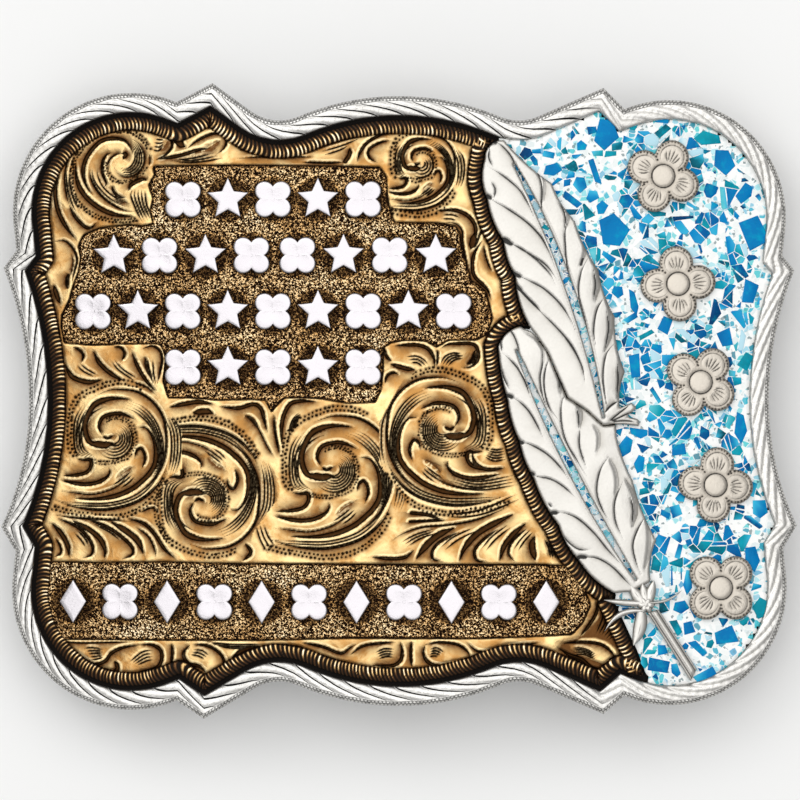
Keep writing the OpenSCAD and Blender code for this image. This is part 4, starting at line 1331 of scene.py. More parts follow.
# Leaves and bands between the scrolls
FOLIAGE = (
    # Fan over the lower left scroll
    Cut((-426,48, -420,36, -413,29, -395,24, -378,27), 0.55),
    Cut((-416,69, -407,65, -402,58, -404,49), 0.3),
    Hatch((-412,48, -402,38, -386,30), (-408,49, -398,41, -382,32), 3, 0.12),
    Cut((-389,64, -383,51, -373,40, -362,32, -350,26), 0.5),
    Cut((-364,69, -354,68, -349,60, -353,50), 0.3),
    Hatch((-368,54, -356,39, -333,24), (-364,55, -352,41, -330,27), 3, 0.12),
    Cut((-340,63, -335,50, -328,36, -319,23, -309,12), 0.42),
    Cut((-323,56, -320,42, -314,28), 0.5, dark=0.8),
    Hatch((-319,54, -317,36, -311,19), (-313,54, -312,36, -309,20)),
    Cut((-327,66, -314,70, -304,64, -301,52, -304,36, -307,22), 0.3),
    Cut((-342,25, -323,19, -307,6), 0.16),
    # Left edge
    Cut((-440,148, -437,138, -432,124), 0.55),
    Cut((-421,163, -423,152, -422,142), 0.5, dark=0.85),
    Cut((-440,203, -426,204, -415,194, -410,180, -413,166, -417,150), 0.26),
    Cut((-419,190, -415,179, -417,166, -420,156), 0.16, dark=0.8),
    Cut((-433,290, -438,266, -434,242, -424,222, -412,206), 0.5),
    Hatch((-443,286, -447,260, -445,235), (-440,286, -444,260, -442,236), 2, 0.12),
    # Top band
    Cut((-318,342, -300,341, -290,333, -289,322, -298,312, -310,306), 0.3),
    Hatch((-314,320, -306,318, -300,324), (-310,333, -304,332, -298,332)),
    Cut((-286,336, -278,327, -272,323), 0.8),
    Cut((-270,320, -256,331, -238,339, -225,340, -219,332, -222,321, -232,313), 0.32),
    Cut((-308,307, -278,312, -255,319, -240,321), 0.42),
    Hatch((-290,305, -260,309, -234,315), (-280,302, -250,304, -222,309), 3, 0.12),
    Cut((-206,322, -185,317, -155,316, -125,315), 0.4),
    Cut((-206,308, -170,310, -130,310, -105,310), 0.2),
    Cut((-125,303, -90,302, -69,303), 0.24),
    Cut((-62,321, -63,312, -68,304), 0.5, taper=Taper.START),
    Cut((-53,303, -50,314, -42,326, -29,335, -12,341), 0.36),
    Cut((-27,302, -37,308, -39,317, -32,324, -20,329, -10,330), 0.3),
    Hatch((-100,316, -75,323, -50,333), (-95,312, -76,318, -64,324), 2, 0.12),
    # Right of the upper rows
    Cut((48,241, 70,242, 86,236, 96,224, 97,210, 93,194), 0.45),
    Cut((95,212, 94,202, 91,193), 0.8),
    Cut((56,228, 72,225, 80,216, 81,202, 85,180, 91,159), 0.2),
    Hatch((54,236, 68,236, 78,232), (54,231, 66,231, 74,228), 3, 0.12),
    Cut((105,203, 96,188, 93,172, 96,158, 106,148, 113,140, 117,128), 0.42),
    Cut((107,202, 110,184, 115,170, 120,161), 0.2),
    Cut((109,224, 103,212, 96,193), 0.26),
    # Over the lower right scroll
    Cut((-19,68, -16,57, -9,50), 0.36),
    Cut((-6,70, 8,71, 24,71, 37,66, 44,55, 46,43), 0.42),
    Hatch((8,56, 22,57, 32,52, 39,44), (14,48, 22,49, 27,46, 31,42), 5),
    Cut((-11,47, -1,44, 10,41, 21,39.5), 0.5),
    Cut((-18,22, -15,32, -7,36, 0,33), 0.3),
    Cut((49,66, 49,56, 48.5,44), 0.26),
    Cut((53,67, 62,72, 76,73, 90,73, 98,69, 101,58, 98,49, 90,43, 80,42), 0.4),
    Hatch((52,46, 58,56, 69,61, 82,60), (62,44, 66,49, 73,53, 82,54)),
    Cut((96,64, 94,53, 86,46), 0.55, dark=0.9),
    # Between the middle scrolls
    Cut((-292,-8, -274,-4, -254,-1, -236,-4), 0.5),
    Cut((-228,-7, -204,-9, -185,-4, -175,-10, -171,-24, -167,-40), 0.45),
    Cut((-262,-15, -245,-13, -236,-16), 0.7),
    Cut((-196,-18, -186,-24, -178,-36), 0.5, dark=0.8),
    Cut((-187,-20, -176,-40, -166,-60, -155,-76), 0.18),
    Cut((-159,-16, -157,-40, -151,-70), 0.3),
    Cut((-149,-56, -149,-32, -145,-15, -137,-3, -124,0, -104,-1), 0.48),
    Hatch((-140,-46, -137,-28, -128,-14), (-133,-36, -130,-26, -124,-17)),
    # Fan at the lower left
    Cut((-442,-156, -430,-169, -422,-184, -420,-198), 0.55),
    Cut((-439,-173, -432,-184, -431,-194, -440,-199), 0.24),
    Cut((-436,-149, -412,-159, -398,-171, -390,-185, -392,-196, -403,-200), 0.36),
    Hatch((-414,-167, -404,-178, -398,-188), (-410,-165, -400,-175, -395,-186), 3, 0.1),
    Cut((-416,-152, -394,-164, -380,-176, -374,-190, -375,-200), 0.6),
    Cut((-400,-149, -370,-161, -350,-175, -339,-187, -340,-196, -352,-201), 0.4),
    Hatch((-390,-156, -368,-167, -352,-180), (-386,-153, -364,-163, -348,-177), 3, 0.1),
    Cut((-366,-154, -346,-166, -332,-178, -325,-194), 0.7),
    Cut((-440,-145, -410,-149, -375,-151, -340,-153), 0.22),
    Cut((-346,-149, -324,-156, -310,-170, -298,-188, -284,-201), 0.42),
    Cut((-336,-159, -319,-172, -311,-188, -309,-200), 0.22),
    Dots((-304,-115, -309,-134, -306,-156, -294,-178), 0.42, 0.14, 0.4),
    Cut((-330,-142, -314,-136, -306,-144), 0.2),
    Cut((-196,-180, -188,-192, -198,-203), 0.4),
    Hatch((-182,-156, -176,-176, -166,-194), (-172,-156, -166,-172, -156,-186), 3, 0.12),
    # Fan at the lower right
    Cut((-34,-198, -10,-200, 8,-198, 19,-189), 0.42),
    Cut((-10,-178, 5,-168, 30,-160, 65,-157, 100,-150, 140,-134), 0.22),
    Hatch((3,-179, 22,-169, 46,-162), (10,-185, 26,-175, 48,-167)),
    Cut((22,-200, 34,-184, 50,-170, 70,-161), 0.75),
    Cut((16,-142, 34,-144, 52,-149), 0.4, taper=Taper.END),
    Cut((14,-153, 36,-152, 60,-151), 0.3, taper=Taper.END),
    Cut((76,-166, 53,-178, 43,-189, 43,-200, 55,-204), 0.34),
    Hatch((52,-186, 70,-172, 96,-160), (58,-189, 75,-176, 99,-164)),
    Cut((77,-202, 83,-187, 96,-171, 114,-159, 144,-144), 0.7),
    Cut((126,-162, 106,-177, 96,-190, 99,-202, 113,-205), 0.34),
    Hatch((104,-188, 118,-172, 138,-157), (110,-190, 123,-175, 142,-160)),
    Cut((128,-202, 133,-185, 144,-170, 160,-156), 0.6),
    Cut((162,-162, 144,-178, 139,-193, 147,-204), 0.3),
    Hatch((146,-188, 154,-176, 168,-162), (151,-190, 159,-178, 170,-166), 3),
    Cut((172,-172, 169,-184, 173,-202), 0.75),
    Hatch((184,-174, 190,-186, 192,-200), (200,-182, 203,-192, 206,-202), 5, 0.16),
    Hatch((54,-144, 100,-139, 150,-118), (58,-148, 104,-144, 154,-124), 2, 0.14),
    Cut((92,-64, 97,-79, 112,-87, 134,-85), 0.42),
    Hatch((108,-70, 120,-76, 136,-74), (114,-60, 124,-62, 134,-60), 5, 0.1),
    Hatch((65,-94, 100,-102, 148,-94), (60,-104, 100,-113, 152,-106), 5),
    # Bottom band
    Cut((-414,-316, -402,-328, -388,-335, -374,-331, -366,-321, -352,-314, -330,-310), 0.4),
    Hatch((-402,-315, -390,-314, -376,-316), (-392,-329, -386,-329, -376,-326), 5, 0.1),
    Cut((-445,-306, -405,-308, -365,-307, -332,-306), 0.2),
    Cut((-330,-310, -314,-310, -303,-317, -302,-330, -310,-340, -334,-345), 0.42),
    Hatch((-343,-332, -326,-319, -312,-317), (-333,-336, -320,-330, -312,-329), 5, 0.1),
    Cut((-362,-330, -358,-340, -366,-348), 0.5),
    Cut((-289,-308, -288,-320, -290,-336), 0.34),
    Cut((-266,-310, -274,-321, -268,-333, -254,-337, -244,-346), 0.42),
    Cut((-263,-309, -243,-311, -228,-320, -222,-332, -227,-346), 0.34),
    Hatch((-262,-316, -250,-317, -240,-324), (-266,-322, -254,-324, -246,-329), 4, 0.1),
    Cut((-212,-326, -198,-317, -178,-312), 0.6),
    Hatch((-250,-305, -210,-309, -170,-308), (-235,-310, -210,-314, -186,-312), 3, 0.1),
    Cut((-125,-306, -96,-312, -74,-320, -62,-313, -54,-308), 0.34),
    Cut((-62,-322, -46,-311, -22,-307, -4,-306), 0.3),
    Cut((1,-305, 4,-316, 2,-329, -10,-336, -34,-335), 0.42),
    Hatch((-30,-319, -18,-314, -5,-315), (-26,-327, -16,-324, -6,-325), 4, 0.1),
    Cut((16,-304, 15,-320, 16,-338), 0.34),
    Cut((33,-309, 31,-321, 38,-332, 54,-337, 74,-334, 86,-329), 0.42),
    Cut((33,-309, 52,-306, 74,-309, 87,-318, 91,-330), 0.3),
    Hatch((39,-315, 48,-313, 58,-319), (38,-325, 44,-323, 50,-325), 4, 0.1),
    Cut((84,-304, 99,-317, 120,-319, 145,-312, 180,-306), 0.34),
    Cut((200,-312, 216,-322, 232,-328, 246,-339, 266,-341), 0.42),
    Cut((206,-308, 232,-306, 256,-309, 270,-319, 276,-330), 0.36),
    Hatch((216,-314, 234,-314, 252,-322), (224,-322, 236,-322, 250,-329)),
    Cut((-264,309, -248,318, -229,330), 0.9, 0.8, 0, 0.5, 0),
    Cut((-305,318, -297,326, -292,335), 0.7, 0.8, 0, 0.4, 0),
    Cut((-210,298, -155,297, -96,298), 0.16, 0.5, 0, 0.4),
    Cut((-205,324, -175,314, -140,309, -110,309), 0.3, 0.7, -1, 0.7, 0.3),
    Cut((252,-252, 251,-268, 242,-284, 230,-299), 0.4),
    Hatch((258,-254, 259,-274, 250,-296), (282,-270, 280,-290, 266,-304), 6, 0.14),
    Hatch((286,-284, 286,-304, 290,-326), (300,-306, 300,-320, 302,-334), 4, 0.14),
    Hatch((210,-322, 230,-332, 254,-343), (206,-332, 228,-344, 250,-354), 3, 0.14),
)
# Where the stippled ground shows, as closed outlines
BANNERS = (
    (-314,299, -210,300, -68,298, -24,297, -16,285, -13,250, -6,227, 54,226, 72,222, 78,212, 80,195, 85,175, 92,153,
        102,146, 111,138, 115,122, 119,104, 112,84, 98,77, 64,77, 48,68, 34,76, 8,77, -9,74, -20,67, -20,40, -23,12,
        -30,-2, -66,-3, -100,3, -145,4, -162,-14, -170,1, -190,2, -230,1, -270,4, -294,4, -300,25, -297,55, -303,72,
        -330,73, -360,72, -390,71, -427,74, -431,95, -430,110, -420,130, -416,146, -409,165, -406,183, -409,198,
        -402,212, -380,221, -345,225, -326,223, -313,226, -317,242, -313,258, -319,274, -311,288),
    (-475,-200, -448,-204, -380,-205, -300,-204, -200,-206, -100,-206, 20,-207, 100,-207, 180,-207, 214,-209,
        234,-232, 244,-260, 234,-282, 220,-297, 100,-302, -60,-301, -180,-304, -300,-304, -475,-304),
)


# The lower right corner of the panel, where the patina was left dark, and the leaves that shine in it
DIM = (195,-302, 222,-292, 244,-272, 242,-250, 274,-246, 314,-310, 316,-370, 266,-362, 195,-336)
SHINING = (
    (219,-312, 232,-304, 248,-303, 264,-308, 276,-318, 281,-332, 266,-333, 248,-327, 232,-320),
    (224,-289, 233,-274, 239,-256, 249,-250, 250,-264, 242,-280, 232,-296),
)


@dataclass
class BronzePanel:
    """The antiqued panel: punched ground, stitched rim and engraved scrollwork."""

    shop: Shop
    pitch: float = 0.1455
    ground_pitch: float = 0.4
    rim_pitch: float = 0.13
    ridge_pitch: float = 0.52
    # The rim from its outer foot inward: share of the width, share of the height
    rim_section: tuple[tuple[float, float], ...] = (
        (0.0, 0.0), (0.0, 0.35), (0.12, 0.62), (0.3, 0.86), (0.5, 0.98), (0.7, 1.0), (0.88, 0.92), (1.0, 0.6),
        (1.0, 0.0),
    )

    def make(self) -> None:
        """Builds the three pieces of the panel."""
        edge = self.shop.outline.panel()
        self._ground(edge)
        self._scrollwork(edge)
        self._rim(edge)

    def _ground(self, edge: np.ndarray) -> None:
        """The slab that carries the rest, marked with painted shade where something stands near."""
        relief = Relief((-49, -40), (32, 40), self.ground_pitch)
        relief.field = relief.distance(edge, 1) + 0.02
        # near: painted shade round the ornaments and beside the scrollwork's edges
        near = np.zeros(relief.x.shape)
        for _, x, y, width, count in ROWS:
            for k in range(count):
                middle = x + width * ((k + 0.5) / count - 0.5)
                far = np.hypot(relief.x - middle, relief.y - y)
                near = np.maximum(near, unit((3.6 - far) / 0.9) * 0.65)
        far = np.minimum(*(relief.distance(drawn(banner), 1) for banner in BANNERS))
        near = np.maximum(near, unit(1 + (far + 0.1) / 0.5) * 0.8)
        clay = Clay()
        relief.shell(clay, np.full(relief.x.shape, GROUND_H), OVERLAY_H, near=near)
        self.shop.hand_over(clay, "bronze_ground", self.shop.finishes.stipple, "antiqued_bronze", "bronze_panel")

    def _scrollwork(self, edge: np.ndarray) -> None:
        """The raised scrolls and leaves, engraved."""
        relief = Relief((-48, -38), (31, 38), self.pitch)
        inner = relief.distance(edge) + RIM_W + 0.05
        relief.field = inner
        for banner in BANNERS:
            relief.field = np.maximum(relief.field, -relief.distance(drawn(banner)))
        rng = self.shop.chance(2)
        for placing in SCROLL_PLACES:
            relief.work(SCROLL, rng, placing)
        relief.work(FIRST_SCROLL, rng, FIRST_PLACE)
        relief.work(FOLIAGE, rng)
        dim = unit(-relief.distance(drawn(DIM)) / 1.2)
        for leaf in SHINING:
            dim = np.minimum(dim, unit(relief.distance(drawn(leaf)) / 0.35))
        relief.darken(0.8 * dim)
        relief.gleam *= 1 - 0.8 * dim
        # painted shadow of the rim on the scrollwork beside it
        relief.darken(0.6 * unit(1 + inner))
        top = RELIEF_H - relief.drop - 0.12 * unit(1 + relief.field / 0.35) ** 2 - 0.12 * dim
        clay = Clay()
        relief.shell(clay, top, GROUND_H - 0.05)
        self.shop.hand_over(clay, "bronze_scrollwork", self.shop.finishes.bronze, "antiqued_bronze")

    def _rim(self, edge: np.ndarray) -> None:
        """Ridges across the rim, like stitches."""
        line = resample(np.vstack([edge, edge[:1]]), self.rim_pitch)[:-1]
        step = np.roll(line, -4, 0) - np.roll(line, 4, 0)
        for _ in range(6):
            step = (np.roll(step, 1, 0) + step + np.roll(step, -1, 0)) / 3
        step /= np.linalg.norm(step, axis=1, keepdims=True)
        normal = np.column_stack([-step[:, 1], step[:, 0]])
        share, height = np.array(self.rim_section).T
        count = len(line)
        ridges = int(round(count * self.rim_pitch / self.ridge_pitch))
        rng = self.shop.chance(3)
        drift, lean = wander(rng, count, ridges // 2, -0.22, 0.22), wander(rng, count, 60, 0.1, 1.3)
        turns = (np.arange(count) * ridges / count + drift)[:, None] + lean[:, None] * share[None, :]
        turns += 1.6 * (share * (1 - share))[None, :]
        phase = turns % 1
        crest = 0.5 - 0.5 * np.cos(2 * np.pi * phase)
        wide = wander(rng, count, 200, 0.92, 1.05)
        at = line[:, None, :] + (share[None, :] * RIM_W * wide[:, None])[..., None] * normal[:, None, :]
        tall = GROUND_H - 0.02 + (RELIEF_H - GROUND_H) * height[None, :] * (0.42 + 0.58 * crest)
        tall[:, [0, -1]] = GROUND_H - 0.06
        ahead = np.roll(at, -1, 0) - np.roll(at, 1, 0)
        folded = (ahead * step[:, None, :]).sum(-1) < 0.06
        folded = sum(np.roll(folded, k, 0) for k in range(-4, 5)) > 0
        tall[folded] = GROUND_H - 0.06
        points = np.dstack([at, tall])
        number = np.floor(turns).astype(int) % ridges
        light = self._light(line)[:, None] * rng.uniform(0.45, 1.3, ridges)[number] * ~folded
        out = unit(share[None, :] * rng.uniform(0.65, 1.5, ridges)[number])
        clay = Clay()
        clay.grid(points[:, ::-1], wrap=True, crest=crest[:, ::-1], out=out[:, ::-1], tone=light[:, ::-1])
        self.shop.hand_over(clay, "stitched_rim", self.shop.finishes.stitch, "antiqued_bronze")

    def _light(self, line: np.ndarray) -> np.ndarray:
        """How bright the gilding is along the rim: it wanders at random and is darker towards the bottom."""
        return wander(self.shop.chance(4), len(line), 70, 0.75, 1.15) * (0.75 + 0.3 * unit((line[:, 1] + 40) / 60))


# The quills' ends and bulge
LONG_QUILL = ((14.6, 30.1), (26.0, -2.2), -1.4)
SHORT_QUILL = ((14.9, 6.5), (30.2, -22.8), 0.8)

# The narrow space between the feathers, where the plate shows with painted shadow on it
BETWEEN = np.array([row[:2] for row in SHORT_RIGHT[9:3:-1] + LONG_RIGHT[5::-1]])

# Edges of the barbs on the feathers
LONG_BARBS = (
    Cut((119,330, 130,324, 141,312, 147,300, 150,288), 0.16, 0.5, -1, 0.5),
    Cut((112,298, 122,292, 138,281, 154,266, 165,247, 170,234), 0.15, 0.45, -1, 0.5),
    Cut((112,260, 123,252, 142,241, 164,225, 180,208, 191,188, 198,169), 0.17, 0.5, -1, 0.5),
    Cut((134,205, 149,196, 170,184, 187,172, 202,152), 0.14, 0.45, -1, 0.5),
    Cut((136,202, 154,194, 174,179, 190,163, 199,147), 0.1, 0.3, -1, 0.4),
    Cut((147,161, 164,153, 183,143, 202,126, 215,108, 223,90), 0.16, 0.5, -1, 0.5),
    Cut((150,145, 162,132, 176,118, 181,113), 0.26, 0.6, -1, 0.5, taper=Taper.END),
    Cut((172,120, 184,109, 202,91, 218,72, 229,52, 235,33), 0.17, 0.5, -1, 0.5),
    Cut((206,86, 221,66, 232,44, 236,22), 0.11, 0.4, -1, 0.5),
    Cut((120,256, 122,268, 116,280), 0.1, 0.3),
    Cut((115,322, 114,308, 120,296), 0.1, 0.3),
    # Right vane: thin lines, and grey hollows beside them
    Cut((166,306, 175,291, 181,271, 180,243, 177,232), 0.14, 0.3),
    Cut((172,309, 181,294, 185,276, 184,253), 0.35, 0.5, 1, 0.4, 0.35),
    Cut((200,255, 208,243, 211,230, 209,217), 0.14, 0.3),
    Cut((201,263, 210,249, 215,235, 213,220), 0.4, 0.5, 1, 0.4, 0.4),
    Cut((216,234, 211,217, 211,197, 214,166, 220,140), 0.13, 0.3),
    Cut((227,220, 235,204, 236,189, 231,174), 0.42, 0.6, 1, 0.4, 0.45),
    Cut((233,180, 231,173), 0.26, 0.2, taper=Taper.NONE),
    Cut((241,184, 231,163, 228,135, 236,102, 243,77), 0.13, 0.3),
    Cut((243,182, 251,168, 253,151, 249,126), 0.6, 0.6, 1, 0.4, 0.5),
    Cut((246,168, 249,148, 246,126), 0.13, 0.3),
    Cut((261,133, 251,115, 247,89, 250,69), 0.13, 0.3),
    Cut((262,130, 268,115, 269,94, 266,77, 261,63), 0.62, 0.6, 1, 0.4, 0.5),
    Cut((263,115, 266,94, 263,74, 260,62), 0.13, 0.3),
    Cut((274,74, 263,59, 259,33, 262,3, 267,-12), 0.13, 0.3),
    Cut((275,71, 281,56, 282,36, 280,15, 277,3), 0.6, 0.6, 1, 0.4, 0.5),
    Cut((277,48, 278,26, 276,4), 0.17, 0.4),
    # The leaf at its foot
    Cut((269,-24, 280,-15, 293,-5), 0.15, 0.5, taper=Taper.END),
    Cut((271,-25, 284,-19, 297,-13), 0.1, 0.4, taper=Taper.END),
    Cut((273,-26, 288,-25, 302,-27), 0.13, 0.45, taper=Taper.END),
    Cut((260,-16, 269,-6, 279,0), 0.2, 0.6, 1, 0.5),
)
SHORT_BARBS = (
    Cut((136,96, 145,84, 151,69, 152,56), 0.14, 0.45, -1, 0.5),
    Cut((132,60, 136,57, 150,42, 161,22, 167,3), 0.17, 0.5, -1, 0.5),
    Cut((129,90, 129,74, 131,60), 0.1, 0.3),
    Cut((128,46, 133,30, 141,13), 0.14, 0.4, 1, 0.3),
    Cut((141,6, 150,1, 164,-12, 176,-32, 183,-48), 0.17, 0.5, -1, 0.5),
    Cut((152,-52, 166,-55, 186,-66, 203,-82, 214,-99), 0.17, 0.5, -1, 0.5),
    Cut((168,-92, 176,-96, 192,-99, 208,-108, 226,-124), 0.15, 0.5, -1, 0.5),
    Cut((189,-129, 194,-135), 0.1, 0.2),
    Cut((195,-142, 210,-142, 228,-150, 248,-168, 266,-190, 282,-208), 0.17, 0.5, -1, 0.5),
    Cut((206,-166, 214,-178, 228,-188, 244,-189), 0.12, 0.45, 1, 0.4),
    Cut((229,-198, 250,-199, 270,-210, 288,-228, 299,-240), 0.16, 0.5, -1, 0.5),
    Cut((246,-224, 256,-236, 270,-243), 0.12, 0.4),
    # Right vane
    Cut((158,89, 174,79, 183,64, 184,48), 0.3, 0.4, 1, 0.4, 0.3),
    Cut((181,67, 182,48, 179,29, 182,6, 188,-10), 0.13, 0.3),
    Cut((193,59, 186,41, 184,19, 190,-6, 204,-26), 0.12, 0.3),
    Cut((192,54, 202,42, 207,26, 205,9), 0.55, 0.6, 1, 0.4, 0.5),
    Cut((198,41, 203,26, 203,10), 0.12, 0.3),
    Cut((217,14, 207,0, 206,-26, 212,-51, 227,-77, 239,-97), 0.13, 0.3),
    Cut((218,11, 227,-2, 231,-18, 230,-34), 0.5, 0.6, 1, 0.4, 0.45),
    Cut((225,-8, 228,-22, 228,-35), 0.12, 0.3),
    Cut((230,-32, 229,-57, 238,-86), 0.12, 0.3),
    Cut((246,-30, 253,-40, 254,-54, 251,-65), 0.42, 0.5, 1, 0.4, 0.35),
    Cut((266,-70, 255,-89, 251,-115, 258,-137, 270,-155), 0.13, 0.3),
    Cut((267,-72, 275,-89, 277,-105, 274,-121), 0.45, 0.5, 1, 0.4, 0.4),
    Cut((284,-102, 274,-128, 275,-153, 285,-176), 0.13, 0.3),
    Cut((287,-98, 298,-119, 301,-140, 297,-160), 0.55, 0.6, 1, 0.4, 0.5),
    Cut((292,-118, 297,-138, 295,-160), 0.12, 0.3),
    Cut((314,-144, 302,-166, 297,-185, 302,-207, 308,-220), 0.13, 0.3),
    Cut((314,-152, 318,-169, 317,-193, 312,-214), 0.5, 0.5, 1, 0.4, 0.4),
)


@dataclass
class Feather:
    """One silver feather with its pierced quill slot."""

    shop: Shop
    name: str
    left: Line
    right: Line
    quill: tuple[tuple[float, float], tuple[float, float], float]
    barbs: Sequence[Cut]
    slot_half: float = 0.5
    vein_gap: float = 0.35
    notch_within: float = 0.5
    pitch: float = 0.14

    def make(self) -> None:
        """Builds the feather as an engraved height field."""
        edge = np.vstack([chain(self.left), chain(self.right)[:-1]])
        edge = edge[np.linalg.norm(np.diff(edge, axis=0, prepend=0), axis=1) > 1e-6]
        relief = Relief(edge.min(0) - 0.6, edge.max(0) + 0.6, self.pitch)
        outer = relief.distance(edge, 2) - 0.12 * unit(1.4 - relief.distance(BETWEEN, 2))
        start, end, bulge = self.quill
        spine = resample(np.vstack([bulged(np.array(start), np.array(end), bulge), [end]]), 0.3)
        t = np.linspace(0, 1, len(spine))
        half = self.slot_half * np.sqrt(np.sin(np.pi * np.clip(t, 0.02, 0.98)))
        normal = left_normals(spine, False)
        slot = np.vstack([spine + normal * half[:, None], (spine - normal * half[:, None])[::-1]])
        relief.field = np.maximum(outer, -relief.distance(slot, 1))
        for cut in (replace(barb, path=drawn(barb.path)) for barb in self.barbs):
            relief.carve(replace(cut, width=max(0.15, cut.width)), 0.2)
            relief.carve(replace(cut, width=0.2, shade=0.38 * min(1.0, 1.4 * cut.shade), reach=1.3, dark=0.0), 0.0)
            p, q = cut.path[:2]
            gap = np.linalg.norm(edge - p, axis=1)
            if cut.side < 0 and gap.min() < self.notch_within:
                tip = edge[gap.argmin()] - 0.1 * (q - p)
                relief.carve(Cut((tip, p, p + 0.5 * (q - p)), 0.38, 0.4, 0, 0.3, taper=Taper.END), 0.3)
        for side in (1, -1):
            vein = spine + side * normal * (half + self.vein_gap)[:, None]
            relief.carve(Cut(vein, 0.09, 0.35, reach=0.4, dark=0.35), 0.05)
        crown, rim = unit(-outer / 2.2) ** 0.6, unit(-relief.field / 0.22)
        top = FEATHER_TOP - 0.18 + 0.176 * crown - relief.drop - 0.14 * (1 - rim)
        relief.darken(0.5 * unit(1 + outer / 0.5))
        clay = Clay()
        relief.shell(clay, np.minimum(top, FEATHER_TOP), FEATHER_H)
        self.shop.hand_over(clay, self.name + "_silver", self.shop.finishes.engraved, "engraved_silver", self.name)


@dataclass
class FeatherTie:
    """The knot between the feathers' feet, its leaf strips, and the quill stem below."""

    shop: Shop
    knot: tuple[float, float] = (31.4, -25.9)
    # Strips: foot x, foot y, length, width, angle, bend
    strips: tuple[tuple[float, ...], ...] = (
        (-0.1, 0.2, 5.4, 0.85, 175, 0.15), (-0.3, -0.8, 5.6, 0.75, 207, -1.0), (0.5, 0.3, 4.4, 0.4, 21, -0.5),
        (-0.6, -0.9, 4.4, 1.7, 256, 0.3), (-0.3, 0.2, 2.9, 1.5, 126, 0.1), (0.3, 0.3, 2.9, 1.3, 76, 0.0),
        (0.0, 0.3, 2.5, 1.3, 101, 0.0),
    )
    # A strip's section: share of its half width, share of its height
    leaf: tuple[tuple[float, float], ...] = (
        (-1, 0.0), (-1, 0.45), (-0.8, 0.75), (-0.35, 0.95), (0, 1.0), (0.35, 0.95), (0.8, 0.75), (1, 0.45), (1, 0.0),
    )
    stem: Line = ((31.6, -26.9), (33.0, -26.5), (37.9, -34.1), (37.1, -35.6))

    def make(self) -> None:
        """Builds the knot with its strips, and the stem."""
        clay = Clay()
        for strip in self.strips:
            self._strip(clay, *strip)
        self._boss(clay)
        self.shop.hand_over(clay, "feather_tie_silver", self.shop.finishes.engraved, "engraved_silver", "feather_tie")
        self._stem()

    def _strip(self, clay: Clay, x: float, y: float, length: float, width: float, angle: float, bend: float) -> None:
        """Adds one pointed leaf with a ridge along it."""
        t = np.linspace(0, 1, 15)
        ahead, side = axes(math.radians(angle))
        foot = np.array(self.knot) + [x, y]
        middle = foot + t[:, None] * length * ahead + (bend * 4 * t * (1 - t))[:, None] * side
        half = width / 2 * np.sin(np.pi * unit(0.22 + 0.78 * t)) ** 0.7
        share, rise = np.array(self.leaf).T
        at = middle[:, None, :] + (share[None, :] * half[:, None])[..., None] * side
        tall = TIE_H + (TIE_TOP - 0.08 - TIE_H) * rise[None, :] * (0.95 - 0.3 * t[:, None])
        tall[:, [0, -1]] = TIE_H
        cut = np.where(np.abs(share) < 0.05, 0.55, 0.0)[None, :] * np.sin(np.pi * t)[:, None]
        shade = unit(np.abs(share) - 0.5)[None, :] * np.ones((15, 1))
        clay.grid(np.dstack([at, tall])[:, ::-1], cut=cut[:, ::-1], shade=shade[:, ::-1])

    def _boss(self, clay: Clay) -> None:
        """Adds the star-shaped knot in the middle."""
        rings, spokes = 9, 48
        r = np.linspace(0, 1, rings)[:, None]
        a = np.linspace(0, 2 * np.pi, spokes, endpoint=False)[None, :]
        edge = 1.05 + 0.14 * np.cos(6 * a)
        x = self.knot[0] + r * edge * np.cos(a)
        y = self.knot[1] + r * edge * np.sin(a)
        lobe = np.abs(np.cos(3 * a)) ** 0.5
        h = TIE_TOP - 0.34 * r**3 - 0.10 * (1 - lobe) * r - 0.10 * np.exp(-((r - 0.3) / 0.08) ** 2)
        h[-1] = TIE_H
        cut = 1.1 * (1 - lobe) ** 2 * r
        clay.grid(closed(np.stack([x, y, h], -1))[::-1], cut=closed(cut)[::-1])

    def _stem(self) -> None:
        """Builds the slant-cut quill stem."""
        a, b, c, d = np.array(self.stem)
        ring = np.array([a, d, c, b])
        edge = np.vstack([resample(np.array([p, q]), 0.3)[:-1] for p, q in zip(ring, np.roll(ring, -1, 0))])
        relief = Relief(edge.min(0) - 0.5, edge.max(0) + 0.5, 0.12)
        relief.field = relief.distance(edge, 1)
        for f, width, dark in ((0.22, 0.12, 0.9), (0.42, 0.08, 0.5), (0.80, 0.13, 0.9)):
            p, q = a * (1 - f) + b * f, d * (1 - f) + c * f
            relief.carve(Cut((p, (p + q) / 2, q), width, 0.5, 0, 0.25, dark, Taper.NONE), 0.16)
        crown = unit(-relief.field / 0.5) ** 0.5
        clay = Clay()
        relief.shell(clay, FEATHER_TOP - 0.25 + 0.25 * crown - relief.drop, FEATHER_H)
        self.shop.hand_over(clay, "quill_stem_silver", self.shop.finishes.engraved, "engraved_silver", "quill_stem")


class Form(Enum):
    """The shapes of the small ornaments."""

    STAR = "star"
    FLOWER = "flower"
    LOZENGE = "lozenge"


